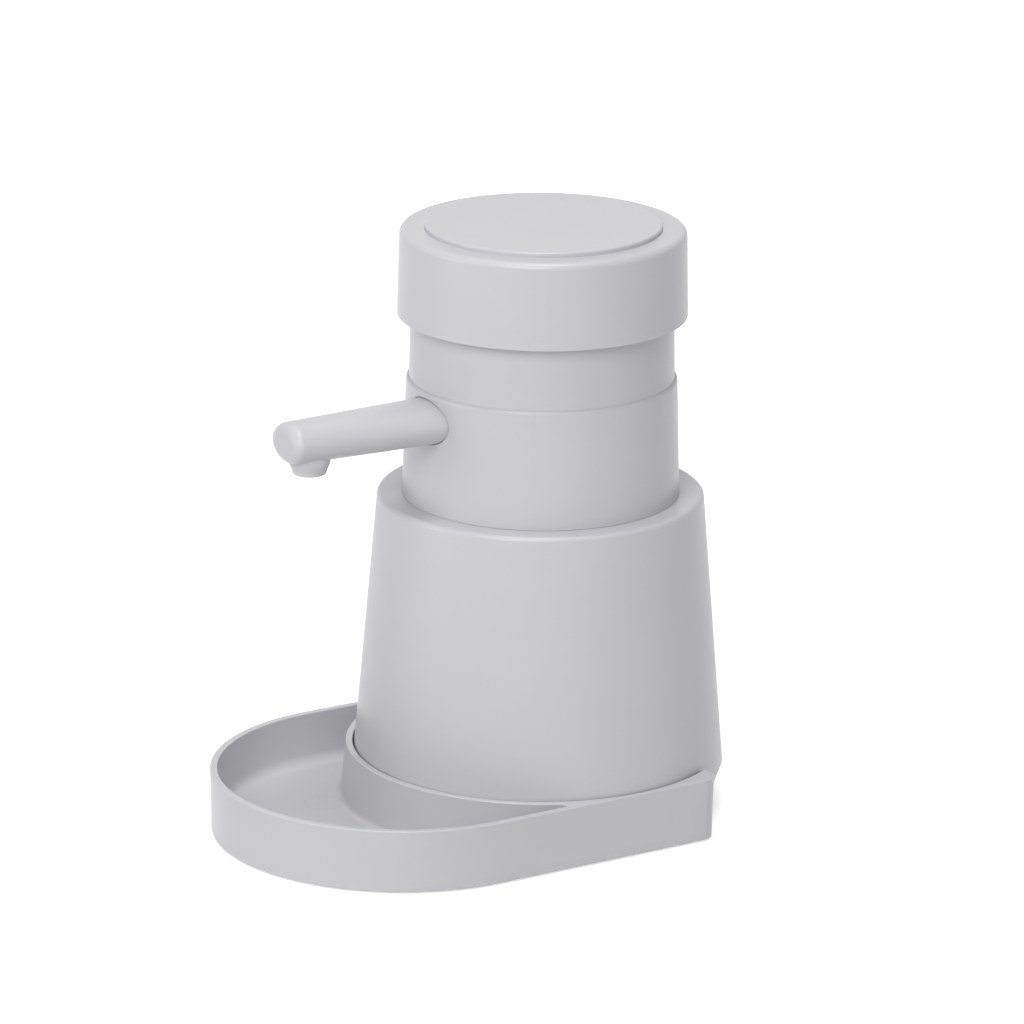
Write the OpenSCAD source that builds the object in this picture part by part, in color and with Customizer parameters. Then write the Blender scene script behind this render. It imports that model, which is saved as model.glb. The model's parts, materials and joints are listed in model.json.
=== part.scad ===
// Hand sanitizer dispenser: a tapered bottle that stands in a round-ended tray,
// with a lift-out pump unit, a fixed spout and a palm-size press head.
// Every piece is drawn about the bottle's axis, spout towards +X.

/* [Tray] */
// Height of the tray, floor included
tray_h = 15.4; // [12:0.1:22]
// Bottle axis to the centre of the round front
tray_reach = 38.8; // [30:0.1:60]
// Bottle axis to the flat back
tray_back = 23.3; // [14:0.1:32]
// Thickness of the wall round the basin
tray_wall = 1.8; // [1.2:0.1:3]
// Thickness of the floor
tray_floor = 2; // [1.6:0.1:3]
// Wall between the basin and the bottle's pocket
ring_wall = 1.5; // [1.2:0.1:3]
// Least wall beside the pocket
side_web = 0.9; // [0.6:0.1:3]
// Radius of the back corners
tray_corner = 5; // [2:0.5:8]
// Radius where the basin's outer walls meet its floor
basin_fillet = 3; // [1:0.5:6]
// Radius where the bottle's ring meets the basin's floor
ring_fillet = 1.5; // [0.5:0.5:6]
// Radius of the basin's two narrow ends
basin_end_r = 1.1; // [0.8:0.1:2]
// Gap round the bottle in its pocket
pocket_fit = 0.3; // [0.2:0.1:1]

/* [Tray feet] */
// Diameter of each soft foot
pad_foot_d = 10; // [6:0.5:12]
// Thickness of each soft foot
pad_foot_t = 1.5; // [1.2:0.1:2]
// How far the feet stand below the tray
foot_proud = 0.5; // [0.3:0.1:1]

/* [Bottle] */
// Height from foot to shoulder
bottle_h = 77.4; // [70:0.1:110]
// Width of the shoulder round the collar
shoulder_w = 5.9; // [2:0.1:10]
// How much further out the foot stands than the shoulder
bottle_flare = 5.75; // [0:0.05:12]
// Thickness of the bottle's wall
bottle_wall = 2.2; // [1.5:0.1:3]
// Thickness of the bottle's floor and shoulder
bottle_end_t = 2; // [1.5:0.1:3]
// Radius of the shoulder's outer edge
bottle_edge_r = 1.2; // [0.6:0.1:2]
// Height of the foot that draws in
foot_h = 9.2; // [6:0.1:14]
// How far the foot draws in above its lower round
foot_inset = 2.2; // [1:0.1:4]
// Radius of the foot's lower edge
foot_edge_r = 2.4; // [1:0.1:4]
// Length of the base's spigot inside the wall
spigot_h = 4; // [2:0.5:6]
// Thickness of the base's spigot
spigot_t = 1.6; // [1:0.1:2.5]

/* [Bottle neck] */
// Height of the neck above the shoulder
neck_h = 11.6; // [10:0.1:14]
// Wall of the neck
neck_wall = 3; // [2.6:0.1:4]
// Gap between the mouth and what passes through it
mouth_gap = 2.3; // [1:0.1:6]
// Diameter of the seal ring's section
oring_d = 2; // [1.6:0.1:2.2]
// Thickness of the gasket on the mouth
gasket_t = 1.2; // [0.8:0.1:2]

/* [Collar] */
// Thickness of the guide neck
guide_wall = 1.9; // [1.5:0.1:3]
// How far the guide neck narrows towards its top
guide_taper = 0.35; // [0:0.05:1]
// Step from the guide neck out to the collar's rim
rim_step = 0.7; // [0.5:0.1:2]
// Radius of the collar's rim
collar_edge_r = 0.6; // [0.3:0.1:1]
// How far the collar widens towards its foot
collar_taper = 0.8; // [0:0.1:3]
// How far the collar's foot flares out
flare_out = 0.1; // [0:0.1:1]
// Height of the flare
flare_h = 2; // [1:0.1:4]
// Gap between collar and shoulder
collar_gap = 0.3; // [0.2:0.1:1]

/* [Press head] */
// How far the press head travels
stroke = 13; // [8:0.5:16]
// Gap left above the collar when pressed
press_gap = 2.5; // [1:0.1:5]
// Room left above the guide neck when pressed
stroke_room = 1.2; // [1:0.1:2]
// How far the press head hides the guide neck at rest
neck_lap = 3.7; // [2:0.1:8]
// Gap between the skirt and the guide neck
head_clear = 1.15; // [0.8:0.05:2]
// Thickness of the skirt
cap_wall = 1.8; // [1.4:0.1:2.4]
// Thickness of the top
cap_top_t = 3.2; // [2.8:0.1:4]
// How far the skirt narrows towards the top
cap_taper = 0.45; // [0:0.05:2]
// Radius of the top edge
cap_edge_r = 2.1; // [1:0.1:2.5]

/* [Press pad] */
// Ring of the press head left bare round the pad
pad_inset = 6; // [3:0.05:12]
// Height of the pad above the press head
pad_proud = 1.2; // [0.6:0.1:2]
// Depth of the seat that the pad sits in
pad_seat = 1.2; // [0.8:0.1:1.4]
// Radius of the pad's edge
pad_edge_r = 1; // [0.4:0.1:1.1]

/* [Spout] */
// Height of the oval spout at the collar
spout_root_h = 10.8; // [10:0.1:13]
// How much wider than high it is there
spout_widening = 6.7; // [0:0.1:8]
// How far its top and bottom draw in towards the tip
spout_taper = 0.4; // [0:0.05:1]
// How far its sides draw in towards the tip
spout_side_taper = 1.9; // [0:0.1:3]
// Bottle axis to the tip
spout_reach = 71.4; // [60:0.1:90]
// Radius of the tip's edge
spout_tip_r = 1.7; // [1:0.1:4]
// Wall of the spout above and below its bore
spout_wall = 1.8; // [1.5:0.1:2.2]
// Nozzle axis behind the tip
nozzle_set = 6.7; // [6:0.1:14]
// Nozzle diameter at its lower edge
nozzle_d = 8; // [7:0.1:9]
// How far the nozzle widens towards the spout
nozzle_flare = 1; // [0:0.1:1.5]
// How far the nozzle stands below the spout
nozzle_drop = 3.2; // [2.5:0.1:5]
// Radius of the nozzle's lower edge
nozzle_edge_r = 0.5; // [0.2:0.1:0.8]

/* [Pump] */
// Diameter of the plunger's stem
stem_d = 8; // [7:0.1:9]
// Wall of the sockets that hold the stem
boss_wall = 3; // [2.5:0.1:4]
// Thickness of the spring's wire
wire_d = 1.4; // [1:0.1:1.8]
// Length of the return spring at rest
spring_len = 31.4; // [28:0.1:36]
// Gap round the spring, inside and outside
spring_room = 1.3; // [0.6:0.1:3]
// Wall of the pump barrel
barrel_wall = 1.5; // [1.2:0.1:2]
// Height of the piston
piston_h = 10; // [9:0.5:12]
// Outer diameter of the dip tube
dip_d = 6; // [5:0.1:7]
// Outer diameter of the riser
riser_d = 6; // [5:0.1:7]
// How far each valve ball can rise
ball_lift = 1.2; // [0.6:0.1:2]

/* [Hidden] */
$fn = 96;

// Overrun of every cut past the face that it opens
cut = 1;
// Gap between parts that are fitted together
fit = 0.1;
// Gap round parts that slide or turn in each other
glide = 0.08;
// Gap between parts that only pass each other
run = 0.3;

// Colours, as the photograph shows them, and plain ones for what is hidden
shell_grey = [0.74, 0.75, 0.77];
inner_white = [0.9, 0.9, 0.9];
seal_dark = [0.25, 0.26, 0.28];
steel = [0.7, 0.71, 0.73];

// Plunger's stem, the sockets round it, the spring and the cup round the spring
stem_r = stem_d / 2;
boss_r = stem_r + boss_wall;
boss_len = 6;
socket_len = 4;
spring_r = boss_r + spring_room + wire_d / 2;
cup_r = spring_r + wire_d / 2 + spring_room;
cup_wall = 1.5;
cup_out_r = cup_r + cup_wall;
cup_floor_t = 2;
guide_boss_wall = 2.5;
guide_boss_r = stem_r + glide + guide_boss_wall;
guide_boss_up = 7;
guide_boss_down = 4;

// Pump barrel, across
barrel_set = 0.5;
barrel_out_r = cup_r - barrel_set;
barrel_r = barrel_out_r - barrel_wall;
barrel_flange_r = cup_out_r;
barrel_flange_t = 2;
barrel_floor_t = 2;
port_r = 1.6;
port_wall = 1.6;
port_out_r = port_r + port_wall;

// Riser, across, and the elbows at its ends
riser_r = riser_d / 2;
riser_wall = 1.1;
riser_bore = riser_r - riser_wall;
riser_notch = 1;
link_wall = 1.4;
link_r = riser_r + link_wall;
riser_gap = 1.1;
riser_x = cup_out_r + riser_gap + link_r;
elbow_side = 1.2;
elbow_r = riser_r + elbow_side;
elbow_wall = 1.5;
elbow_arm_r = port_out_r + elbow_wall;
elbow_lap = 3.5;
port_lap = 0.2;
port_len = riser_x - elbow_r - barrel_out_r + port_lap;

// Mouth, neck, deck and collar, across
mouth_r = riser_x + elbow_r + mouth_gap;
neck_r = mouth_r + neck_wall;
skirt_in_r = neck_r + run + fit;
skirt_t = 1.6;
skirt_gap = 0.35;
clamp_r = skirt_in_r + skirt_t + skirt_gap;
ledge_w = 1;
deck_r = clamp_r + ledge_w;
collar_rim_r = deck_r + guide_wall;
collar_foot_r = collar_rim_r + collar_taper;
guide_foot_r = collar_rim_r - rim_step;
guide_top_r = guide_foot_r - guide_taper;
bore_up_r = guide_top_r - guide_wall;
inner_ledge_w = 3.2;
ledge_r = bore_up_r - inner_ledge_w;
ledge_t = 2;

// Bottle
foot_set = pad_foot_t - foot_proud;
tray_z = foot_proud;
basin_z = tray_z + tray_floor;
tray_top = tray_z + tray_h;
base_z = basin_z;
seam_z = base_z + foot_h;
shoulder_z = base_z + bottle_h;
bottle_top_r = collar_foot_r + flare_out + shoulder_w;
bottle_r = bottle_top_r + bottle_flare;
edge_z = shoulder_z - bottle_edge_r;
draft = bottle_flare / (shoulder_z - seam_z);
edge_side_r = bottle_top_r + draft * bottle_edge_r;
foot_r = bottle_r - foot_inset;
seam_in_r = bottle_r - bottle_wall;
inner_top_z = shoulder_z - bottle_end_t;
inner_top_r = bottle_top_r + draft * bottle_end_t - bottle_wall;
spigot_r = seam_in_r - draft * spigot_h - fit;

// Tray
pocket_r = bottle_r + pocket_fit;
ring_r = pocket_r + ring_wall;
tray_r = pocket_r + side_web;
basin_r = tray_r - tray_wall;
basin_end_x = sqrt(pow(ring_r + basin_end_r, 2) - pow(basin_r - basin_end_r, 2));
axis_x = (max(tray_back, bottle_r) - tray_reach - tray_r) / 2;
foot_edge = 6;
foot_back_x = -tray_back + foot_edge + pad_foot_d / 2;
foot_back_y = tray_r - foot_edge - pad_foot_d / 2;
foot_front_share = 0.6;
foot_front_x = tray_reach + tray_r * foot_front_share;
foot_front_y = tray_r * (1 - foot_front_share);

// Neck of the bottle and its seals
mouth_z = shoulder_z + neck_h;
oring_share = 0.55;
oring_z = shoulder_z + neck_h * oring_share;
oring_out_r = skirt_in_r - glide / 2;
oring_mid_r = oring_out_r - oring_d / 2;
groove_r = oring_out_r - oring_d - fit;
groove_h = oring_d + 2 * run;

// Deck that closes the mouth
deck_z = mouth_z + gasket_t;
deck_t = 2.2;
deck_top = deck_z + deck_t;
skirt_end_gap = 3.8;
skirt_len = neck_h + gasket_t - skirt_end_gap;

// Spout, across, and its height between the deck and the collar's rim
spout_root_half = spout_root_h / 2;
spout_root_side = spout_root_half + spout_widening / 2;
spout_tip_half = spout_root_half - spout_taper;
spout_tip_side = spout_root_side - spout_side_taper;
flange_over = 1.1;
flange_half = spout_root_half + flange_over;
flange_side = spout_root_side + flange_over;
deck_gap = 0.6;
spout_z = deck_top + deck_gap + flange_half;
rim_gap = 0.4;
rim_z = spout_z + flange_half + rim_gap;
collar_z = shoulder_z + collar_gap;

// Press head
cap_z = rim_z + stroke + press_gap;
cap_under = cap_z + neck_lap + stroke + stroke_room;
cap_top = cap_under + cap_top_t;
cap_r = guide_foot_r + head_clear + cap_wall;
cap_top_r = cap_r - cap_taper;
guide_top = cap_z + neck_lap;
seat_z = cap_top - pad_seat;
pad_top = cap_top + pad_proud;
pad_r = cap_top_r - pad_inset;
screw_head_r = 2.7;
screw_head_t = 1.6;
screw_r = 1.2;
screw_len = 11;
pilot_gap = 0.05;
pin_r = 1.2;
pin_ring_share = 0.7;
pin_ring = pad_r * pin_ring_share;
pin_tail = 0.6;

// Guide cup, up and down, and the posts that the deck is screwed to
flange_t = 2;
flange_sink = 0.6;
ledge_z = guide_top - flange_t - flange_sink;
cup_floor = cap_under - spring_len;
bush_z = cup_floor - cup_floor_t;
deck_head_r = 2.2;
post_inset = 3;
post_ring = mouth_r - post_inset;
post_r = 2.8;
post_hole_r = screw_r + pilot_gap;
post_hole_len = 10;
deck_screw_len = 9;
post_turn = 45;

// Pump barrel, up and down
barrel_top = bush_z - run;
piston_top = bush_z - guide_boss_down - run;
piston_z = piston_top - piston_h;
chamber_h = 5;
chamber_z = piston_z - stroke - chamber_h;
port_z = chamber_z + chamber_h / 2;

// Inlet valve and dip tube
dip_r = dip_d / 2;
dip_wall = 1;
dip_bore = dip_r - dip_wall;
inlet_wall = 2.2;
inlet_out_r = dip_r + inlet_wall;
inlet_side_gap = 0.7;
inlet_room_wall = 1.7;
inlet_room_r = inlet_out_r - inlet_room_wall;
inlet_ball_r = inlet_room_r - inlet_side_gap;
inlet_lip = 1;
inlet_lip_r = inlet_room_r - inlet_lip;
seat_step = 0.5;
inlet_seat_r = inlet_lip_r - seat_step;
retainer_t = 1.2;
inlet_up = sqrt(pow(inlet_ball_r, 2) - pow(inlet_lip_r, 2)) + glide;
inlet_room_h = inlet_up + inlet_ball_r + ball_lift + glide + retainer_t;
inlet_seat_z = chamber_z - inlet_room_h;
inlet_rest = inlet_seat_z + inlet_up;
seat_h = 1.2;
seat_land = 1;
dip_lap = 8;
dip_stop_z = inlet_seat_z - seat_h - seat_land;
dip_end_z = dip_stop_z - dip_lap;
retainer_lap = 1;
retainer_r = inlet_room_r + retainer_lap;
retainer_hole_r = 1;
retainer_set = retainer_r / 2;
strainer_gap = 0.6;
strainer_z = base_z + bottle_end_t + strainer_gap;
strainer_wall = 1.4;
strainer_r = dip_r + strainer_wall;
strainer_h = 8;
strainer_lap = 4;
strainer_slot = 1;
dip_z = strainer_z + strainer_h - strainer_lap;

// Outlet valve and the riser, up and down
outlet_side_gap = 0.4;
outlet_room_r = riser_r - outlet_side_gap;
outlet_ball_r = outlet_room_r - outlet_side_gap;
outlet_set = 3;
outlet_seat_z = port_z + outlet_set;
seat_slope = (outlet_room_r - port_r) / seat_h;
outlet_up = (outlet_ball_r * sqrt(1 + pow(seat_slope, 2)) - port_r) / seat_slope + glide;
outlet_rest = outlet_seat_z + outlet_up;
riser_z = outlet_rest + outlet_ball_r + ball_lift + glide;
elbow_top = riser_z + elbow_lap;
riser_top = spout_z - riser_r - fit;
link_low = deck_top + run;

// Spout, along its axis
nipple_r = spout_root_half - spout_wall;
nipple_wall = 1.2;
nipple_bore = nipple_r - nipple_wall;
nipple_set = 1.5;
nipple_x = clamp_r - nipple_set;
spout_in_gap = 1.8;
spout_in_x = riser_x + link_r + spout_in_gap;
flange_set = 3;
flange_x = clamp_r - flange_set;
spout_flange_t = 1.4;
step_in = 0.2;
spout_step_r = spout_root_half - step_in;
spout_bore = spout_tip_half - spout_wall;
spout_end_t = 3.4;
oval_turn = 5;
tip_turn = 15;
slice = 0.01;
seal_t = 1.2;
seal_set = 1;
seal_x = spout_in_x + seal_set;

// Nozzle and its valve
nozzle_x = spout_reach - nozzle_set;
nozzle_r = nozzle_d / 2;
nozzle_top_r = nozzle_r + nozzle_flare;
nozzle_low = spout_z - spout_tip_half - nozzle_drop;
shank_in = 0.8;
shank_r = nozzle_r - shank_in;
shank_wall = 0.7;
valve_r = shank_r - shank_wall - fit;
valve_lip = 0.8;
jet_r = valve_r - valve_lip;
valve_flange_t = 0.8;
bill_len = 2.6;
bill_slit = 0.3;

// Vent valve in the deck
vent_turn = 180;
vent_inset = 6.5;
vent_ring = mouth_r - vent_inset;
vent_stem_r = 1.2;
vent_disc_r = 4;
vent_disc_t = 0.8;
vent_knob_r = 1.8;
vent_knob_t = 1.5;
vent_hole_r = 0.5;
vent_hole_set = 2.5;

// Plunger, piston and their seal
tail_r = 2.5;
tail_set = 2;
tail_len = piston_h - tail_set;
piston_r = barrel_r - run;
piston_groove_z = 3;
piston_groove_h = 3;
groove_depth = 2;
piston_groove_r = piston_r - groove_depth;

// Return spring
spring_turns = 7;
wire_sides = 6;
ring_steps = 24;
spring_pitch = (spring_len - wire_d - glide) / spring_turns;
spring_line = [for (i = [0:spring_turns * ring_steps]) let(turn = 360 * i / ring_steps)
    [spring_r * cos(turn), spring_r * sin(turn), spring_pitch * i / ring_steps]];
spring_gap = min([for (i = [0:len(spring_line) - 1 - ring_steps], k = [ring_steps / 2:ring_steps])
    norm(spring_line[i + k] - spring_line[i])]) - wire_d;
echo(least_gap_between_curls = spring_gap);

module at_axis() {
    translate([axis_x, 0, 0]) children();
}

// A ring or tube from height low to height high
module tube(r_out, r_in, low, high) {
    difference() {
        translate([0, 0, low]) cylinder(r = r_out, h = high - low);
        translate([0, 0, low - cut]) cylinder(r = r_in, h = high - low + 2 * cut);
    }
}

// A round bar along +X at height z
module bar_x(r, from_x, to_x, z) {
    translate([from_x, 0, z]) rotate([0, 90, 0]) cylinder(r = r, h = to_x - from_x);
}

// Outline of the tray, r to each side, with round front and small back corners
// An oval bar along +X at height z, half_w to each side and half_h up and down
module oval_x(half_w, half_h, from_x, to_x, z) {
    translate([from_x, 0, z]) rotate([0, 90, 0]) linear_extrude(to_x - from_x)
        polygon([for (a = [0:oval_turn:360 - oval_turn]) [half_h * cos(a), half_w * sin(a)]]);
}

module tray_outline() {
    translate([-tray_back + tray_corner, -tray_r])
        square([tray_reach + tray_back - tray_corner, 2 * tray_r]);
    translate([-tray_back, tray_corner - tray_r])
        square([2 * tray_corner, 2 * (tray_r - tray_corner)]);
    for (side = [-1, 1])
        translate([tray_corner - tray_back, side * (tray_r - tray_corner)]) circle(tray_corner);
    translate([tray_reach, 0]) circle(tray_r);
}

// Outline of the basin, between the round front and the ring wall
module basin_outline() {
    difference() {
        union() {
            translate([basin_end_x, -basin_r]) square([tray_reach - basin_end_x, 2 * basin_r]);
            translate([tray_reach, 0]) circle(basin_r);
        }
        circle(ring_r);
    }
    for (side = [-1, 1])
        translate([basin_end_x, side * (basin_r - basin_end_r)]) circle(basin_end_r);
}

// Half section of the basin's lower part: flat floor, round corner
module basin_half() {
    square([basin_r - basin_fillet, basin_fillet]);
    intersection() {
        translate([basin_r - basin_fillet, basin_fillet]) circle(basin_fillet);
        square([basin_r, basin_fillet]);
    }
}

// Space of the basin, with its floor rounded into both walls
module basin_space() {
    translate([0, 0, basin_z + basin_fillet])
        linear_extrude(tray_h) basin_outline();
    difference() {
        translate([0, 0, basin_z]) {
            translate([basin_end_x, 0, 0]) rotate([90, 0, 90])
                linear_extrude(tray_reach - basin_end_x) {
                    basin_half();
                    mirror([1, 0]) basin_half();
                }
            translate([tray_reach, 0, 0]) rotate_extrude() basin_half();
        }
        translate([0, 0, basin_z - cut]) cylinder(r = ring_r, h = basin_fillet + 2 * cut);
        translate([0, 0, basin_z]) rotate_extrude() difference() {
            square([ring_r + ring_fillet, ring_fillet]);
            translate([ring_r + ring_fillet, ring_fillet]) circle(ring_fillet);
        }
    }
}

module foot_places() {
    for (side = [-1, 1]) {
        translate([foot_back_x, side * foot_back_y, 0]) children();
        translate([foot_front_x, side * foot_front_y, 0]) children();
    }
}

module tray() {
    at_axis() color(shell_grey) difference() {
        translate([0, 0, tray_z]) linear_extrude(tray_h) tray_outline();
        basin_space();
        translate([0, 0, base_z]) cylinder(r = pocket_r, h = tray_h);
        foot_places() translate([0, 0, tray_z - cut])
            cylinder(r = pad_foot_d / 2 + fit, h = foot_set + cut);
    }
}

module tray_feet() {
    at_axis() color(seal_dark) foot_places() cylinder(d = pad_foot_d, h = pad_foot_t);
}

module bottle_shell() {
    at_axis() color(shell_grey) difference() {
        rotate_extrude() {
            polygon([[0, seam_z], [bottle_r, seam_z], [edge_side_r, edge_z],
                [edge_side_r - bottle_edge_r, shoulder_z], [0, shoulder_z]]);
            translate([edge_side_r - bottle_edge_r, edge_z]) circle(bottle_edge_r);
        }
        rotate_extrude() polygon([[0, seam_z - cut], [seam_in_r, seam_z - cut],
            [seam_in_r, seam_z], [inner_top_r, inner_top_z], [0, inner_top_z]]);
        translate([0, 0, inner_top_z - cut]) cylinder(r = mouth_r, h = mouth_z);
    }
}

module bottle_base() {
    at_axis() color(shell_grey) difference() {
        rotate_extrude() {
            polygon([[0, base_z], [foot_r - foot_edge_r, base_z], [foot_r, base_z + foot_edge_r],
                [bottle_r, seam_z], [spigot_r, seam_z], [spigot_r, seam_z + spigot_h],
                [0, seam_z + spigot_h]]);
            translate([foot_r - foot_edge_r, base_z + foot_edge_r]) circle(foot_edge_r);
        }
        translate([0, 0, base_z + bottle_end_t])
            cylinder(r1 = foot_r - foot_edge_r, r2 = spigot_r - spigot_t, h = foot_h - bottle_end_t);
        translate([0, 0, seam_z - fit]) cylinder(r = spigot_r - spigot_t, h = spigot_h + cut);
    }
}

module bottle_neck() {
    at_axis() color(shell_grey) difference() {
        tube(neck_r, mouth_r, shoulder_z, mouth_z);
        tube(neck_r + cut, groove_r, oring_z - groove_h / 2, oring_z + groove_h / 2);
    }
}

module neck_oring() {
    at_axis() color(seal_dark) translate([0, 0, oring_z])
        rotate_extrude() translate([oring_mid_r, 0]) circle(d = oring_d);
}

module neck_gasket() {
    at_axis() color(seal_dark) tube(neck_r - fit, mouth_r + fit, mouth_z, deck_z);
}

module collar_shell() {
    at_axis() color(shell_grey) difference() {
        union() {
            difference() {
                rotate_extrude() {
                    polygon([[0, collar_z], [collar_foot_r + flare_out, collar_z],
                        [collar_foot_r, collar_z + flare_h], [collar_rim_r, rim_z - collar_edge_r],
                        [collar_rim_r - collar_edge_r, rim_z], [guide_foot_r, rim_z],
                        [guide_top_r, guide_top], [0, guide_top]]);
                    translate([collar_rim_r - collar_edge_r, rim_z - collar_edge_r]) circle(collar_edge_r);
                }
                translate([0, 0, collar_z - cut]) cylinder(r = deck_r + fit, h = deck_top - collar_z + cut);
                translate([0, 0, collar_z]) cylinder(r = clamp_r, h = rim_z - collar_z);
                translate([0, 0, collar_z]) cylinder(r = bore_up_r, h = ledge_z - ledge_t - collar_z);
                translate([0, 0, collar_z]) cylinder(r = ledge_r, h = ledge_z - collar_z + cut);
                translate([0, 0, ledge_z]) cylinder(r = bore_up_r, h = guide_top - ledge_z + cut);
            }
            oval_x(flange_side, flange_half, flange_x, clamp_r + guide_wall / 2, spout_z);
        }
        oval_x(spout_root_side + fit, spout_root_half + fit, flange_x - cut, collar_foot_r + cut, spout_z);
    }
}

module post_places() {
    for (turn = [post_turn:90:360]) rotate([0, 0, turn]) translate([post_ring, 0, 0]) children();
}

module vent_place() {
    rotate([0, 0, vent_turn]) translate([vent_ring, 0, 0]) children();
}

module pump_deck() {
    at_axis() color(inner_white) difference() {
        translate([0, 0, deck_z]) cylinder(r = deck_r, h = deck_t);
        translate([0, 0, deck_z - cut]) cylinder(r = barrel_out_r + fit, h = deck_t + 2 * cut);
        translate([riser_x, 0, deck_z - cut]) cylinder(r = riser_r + fit, h = deck_t + 2 * cut);
        post_places() translate([0, 0, deck_z - cut])
            cylinder(r = screw_r + fit, h = deck_t + 2 * cut);
        vent_place() translate([0, 0, deck_z - cut]) {
            cylinder(r = vent_stem_r + fit, h = deck_t + 2 * cut);
            for (side = [-1, 1]) translate([side * vent_hole_set, 0, 0])
                cylinder(r = vent_hole_r, h = deck_t + 2 * cut);
        }
    }
}

module deck_skirt() {
    at_axis() color(inner_white)
        tube(skirt_in_r + skirt_t, skirt_in_r, deck_z - skirt_len, deck_z);
}

module deck_screws() {
    at_axis() color(steel) post_places() translate([0, 0, deck_z - screw_head_t]) {
        cylinder(r = deck_head_r, h = screw_head_t);
        cylinder(r = screw_r, h = screw_head_t + deck_t + deck_screw_len);
    }
}

module guide_cup() {
    at_axis() color(inner_white) difference() {
        union() {
            translate([0, 0, ledge_z]) cylinder(r = bore_up_r - fit, h = flange_t);
            translate([0, 0, deck_top + barrel_flange_t]) cylinder(r = cup_out_r, h = ledge_z - deck_top);
            post_places() translate([0, 0, deck_top]) cylinder(r = post_r, h = ledge_z - deck_top + cut);
        }
        translate([0, 0, bush_z]) cylinder(r = cup_r, h = guide_top - bush_z);
        translate([0, 0, deck_top + barrel_flange_t - cut])
            cylinder(r = barrel_out_r + fit, h = bush_z - deck_top);
        post_places() translate([0, 0, deck_top - cut])
            cylinder(r = post_hole_r, h = post_hole_len + cut);
    }
}

module guide_bush() {
    at_axis() color(inner_white) difference() {
        union() {
            translate([0, 0, bush_z]) cylinder(r = cup_r - fit, h = cup_floor_t);
            translate([0, 0, bush_z - guide_boss_down])
                cylinder(r = guide_boss_r, h = guide_boss_down + cup_floor_t + guide_boss_up);
        }
        translate([0, 0, bush_z - guide_boss_down - cut])
            cylinder(r = stem_r + glide, h = cup_floor_t + guide_boss_down + guide_boss_up + 2 * cut);
    }
}

module pump_barrel() {
    at_axis() color(inner_white) difference() {
        union() {
            translate([0, 0, chamber_z - barrel_floor_t])
                cylinder(r = barrel_out_r, h = barrel_top - chamber_z + barrel_floor_t);
            translate([0, 0, deck_top]) cylinder(r = barrel_flange_r, h = barrel_flange_t);
            translate([0, 0, dip_end_z]) cylinder(r = inlet_out_r, h = chamber_z - dip_end_z);
            bar_x(port_out_r, 0, barrel_out_r + port_len, port_z);
        }
        translate([0, 0, chamber_z]) cylinder(r = barrel_r, h = barrel_top);
        translate([0, 0, inlet_seat_z]) cylinder(r = inlet_room_r, h = inlet_room_h + cut);
        translate([0, 0, chamber_z - retainer_t]) cylinder(r = retainer_r + fit, h = retainer_t + cut);
        translate([0, 0, inlet_seat_z - seat_h])
            cylinder(r1 = inlet_seat_r, r2 = inlet_lip_r, h = seat_h + glide / 2);
        translate([0, 0, dip_stop_z - cut]) cylinder(r = inlet_seat_r, h = seat_land + 2 * cut);
        translate([0, 0, dip_end_z - cut]) cylinder(r = dip_r + fit / 2, h = dip_lap + cut);
        bar_x(port_r, 0, barrel_out_r + port_len + cut, port_z);
    }
}

module inlet_ball() {
    at_axis() color(steel) translate([0, 0, inlet_rest]) sphere(inlet_ball_r);
}

module valve_retainer() {
    at_axis() color(inner_white) difference() {
        translate([0, 0, chamber_z - retainer_t]) cylinder(r = retainer_r, h = retainer_t);
        for (turn = [0:120:240]) rotate([0, 0, turn])
            translate([retainer_set, 0, chamber_z - retainer_t - cut])
                cylinder(r = retainer_hole_r, h = retainer_t + 2 * cut);
    }
}

module dip_tube() {
    at_axis() color(inner_white) tube(dip_r, dip_bore, dip_z, dip_stop_z - fit);
}

module strainer() {
    at_axis() color(inner_white) difference() {
        translate([0, 0, strainer_z]) cylinder(r = strainer_r, h = strainer_h);
        translate([0, 0, dip_z - fit]) cylinder(r = dip_r + fit / 2, h = strainer_lap + fit + cut);
        translate([0, 0, strainer_z - cut]) cylinder(r = dip_bore, h = strainer_h);
        for (turn = [0, 90]) rotate([0, 0, turn])
            translate([-strainer_r - cut, -strainer_slot / 2, strainer_z - cut])
                cube([2 * (strainer_r + cut), strainer_slot, strainer_lap / 2 + cut]);
    }
}

module outlet_elbow() {
    at_axis() color(inner_white) difference() {
        union() {
            translate([riser_x, 0, port_z - elbow_r]) cylinder(r = elbow_r, h = elbow_top - port_z + elbow_r);
            bar_x(elbow_arm_r, barrel_out_r + port_len / 5, riser_x, port_z);
        }
        bar_x(port_out_r + fit / 2, barrel_out_r, barrel_out_r + port_len + fit, port_z);
        bar_x(port_r, barrel_out_r, riser_x, port_z);
        translate([riser_x, 0, port_z]) cylinder(r = port_r, h = outlet_seat_z - port_z + fit);
        translate([riser_x, 0, port_z]) sphere(port_r);
        translate([riser_x, 0, outlet_seat_z]) cylinder(r1 = port_r, r2 = outlet_room_r, h = seat_h);
        translate([riser_x, 0, outlet_seat_z + seat_h])
            cylinder(r = outlet_room_r, h = riser_z - outlet_seat_z);
        translate([riser_x, 0, riser_z - fit]) cylinder(r = riser_r + fit / 2, h = elbow_lap + cut);
    }
}

module outlet_ball() {
    at_axis() color(steel) translate([riser_x, 0, outlet_rest]) sphere(outlet_ball_r);
}

module riser_tube() {
    at_axis() color(inner_white) translate([riser_x, 0, 0]) difference() {
        tube(riser_r, riser_bore, riser_z, riser_top);
        for (turn = [0, 90]) rotate([0, 0, turn])
            translate([-riser_r - cut, -riser_notch / 2, riser_z - cut])
                cube([2 * (riser_r + cut), riser_notch, riser_notch + cut]);
    }
}

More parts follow.
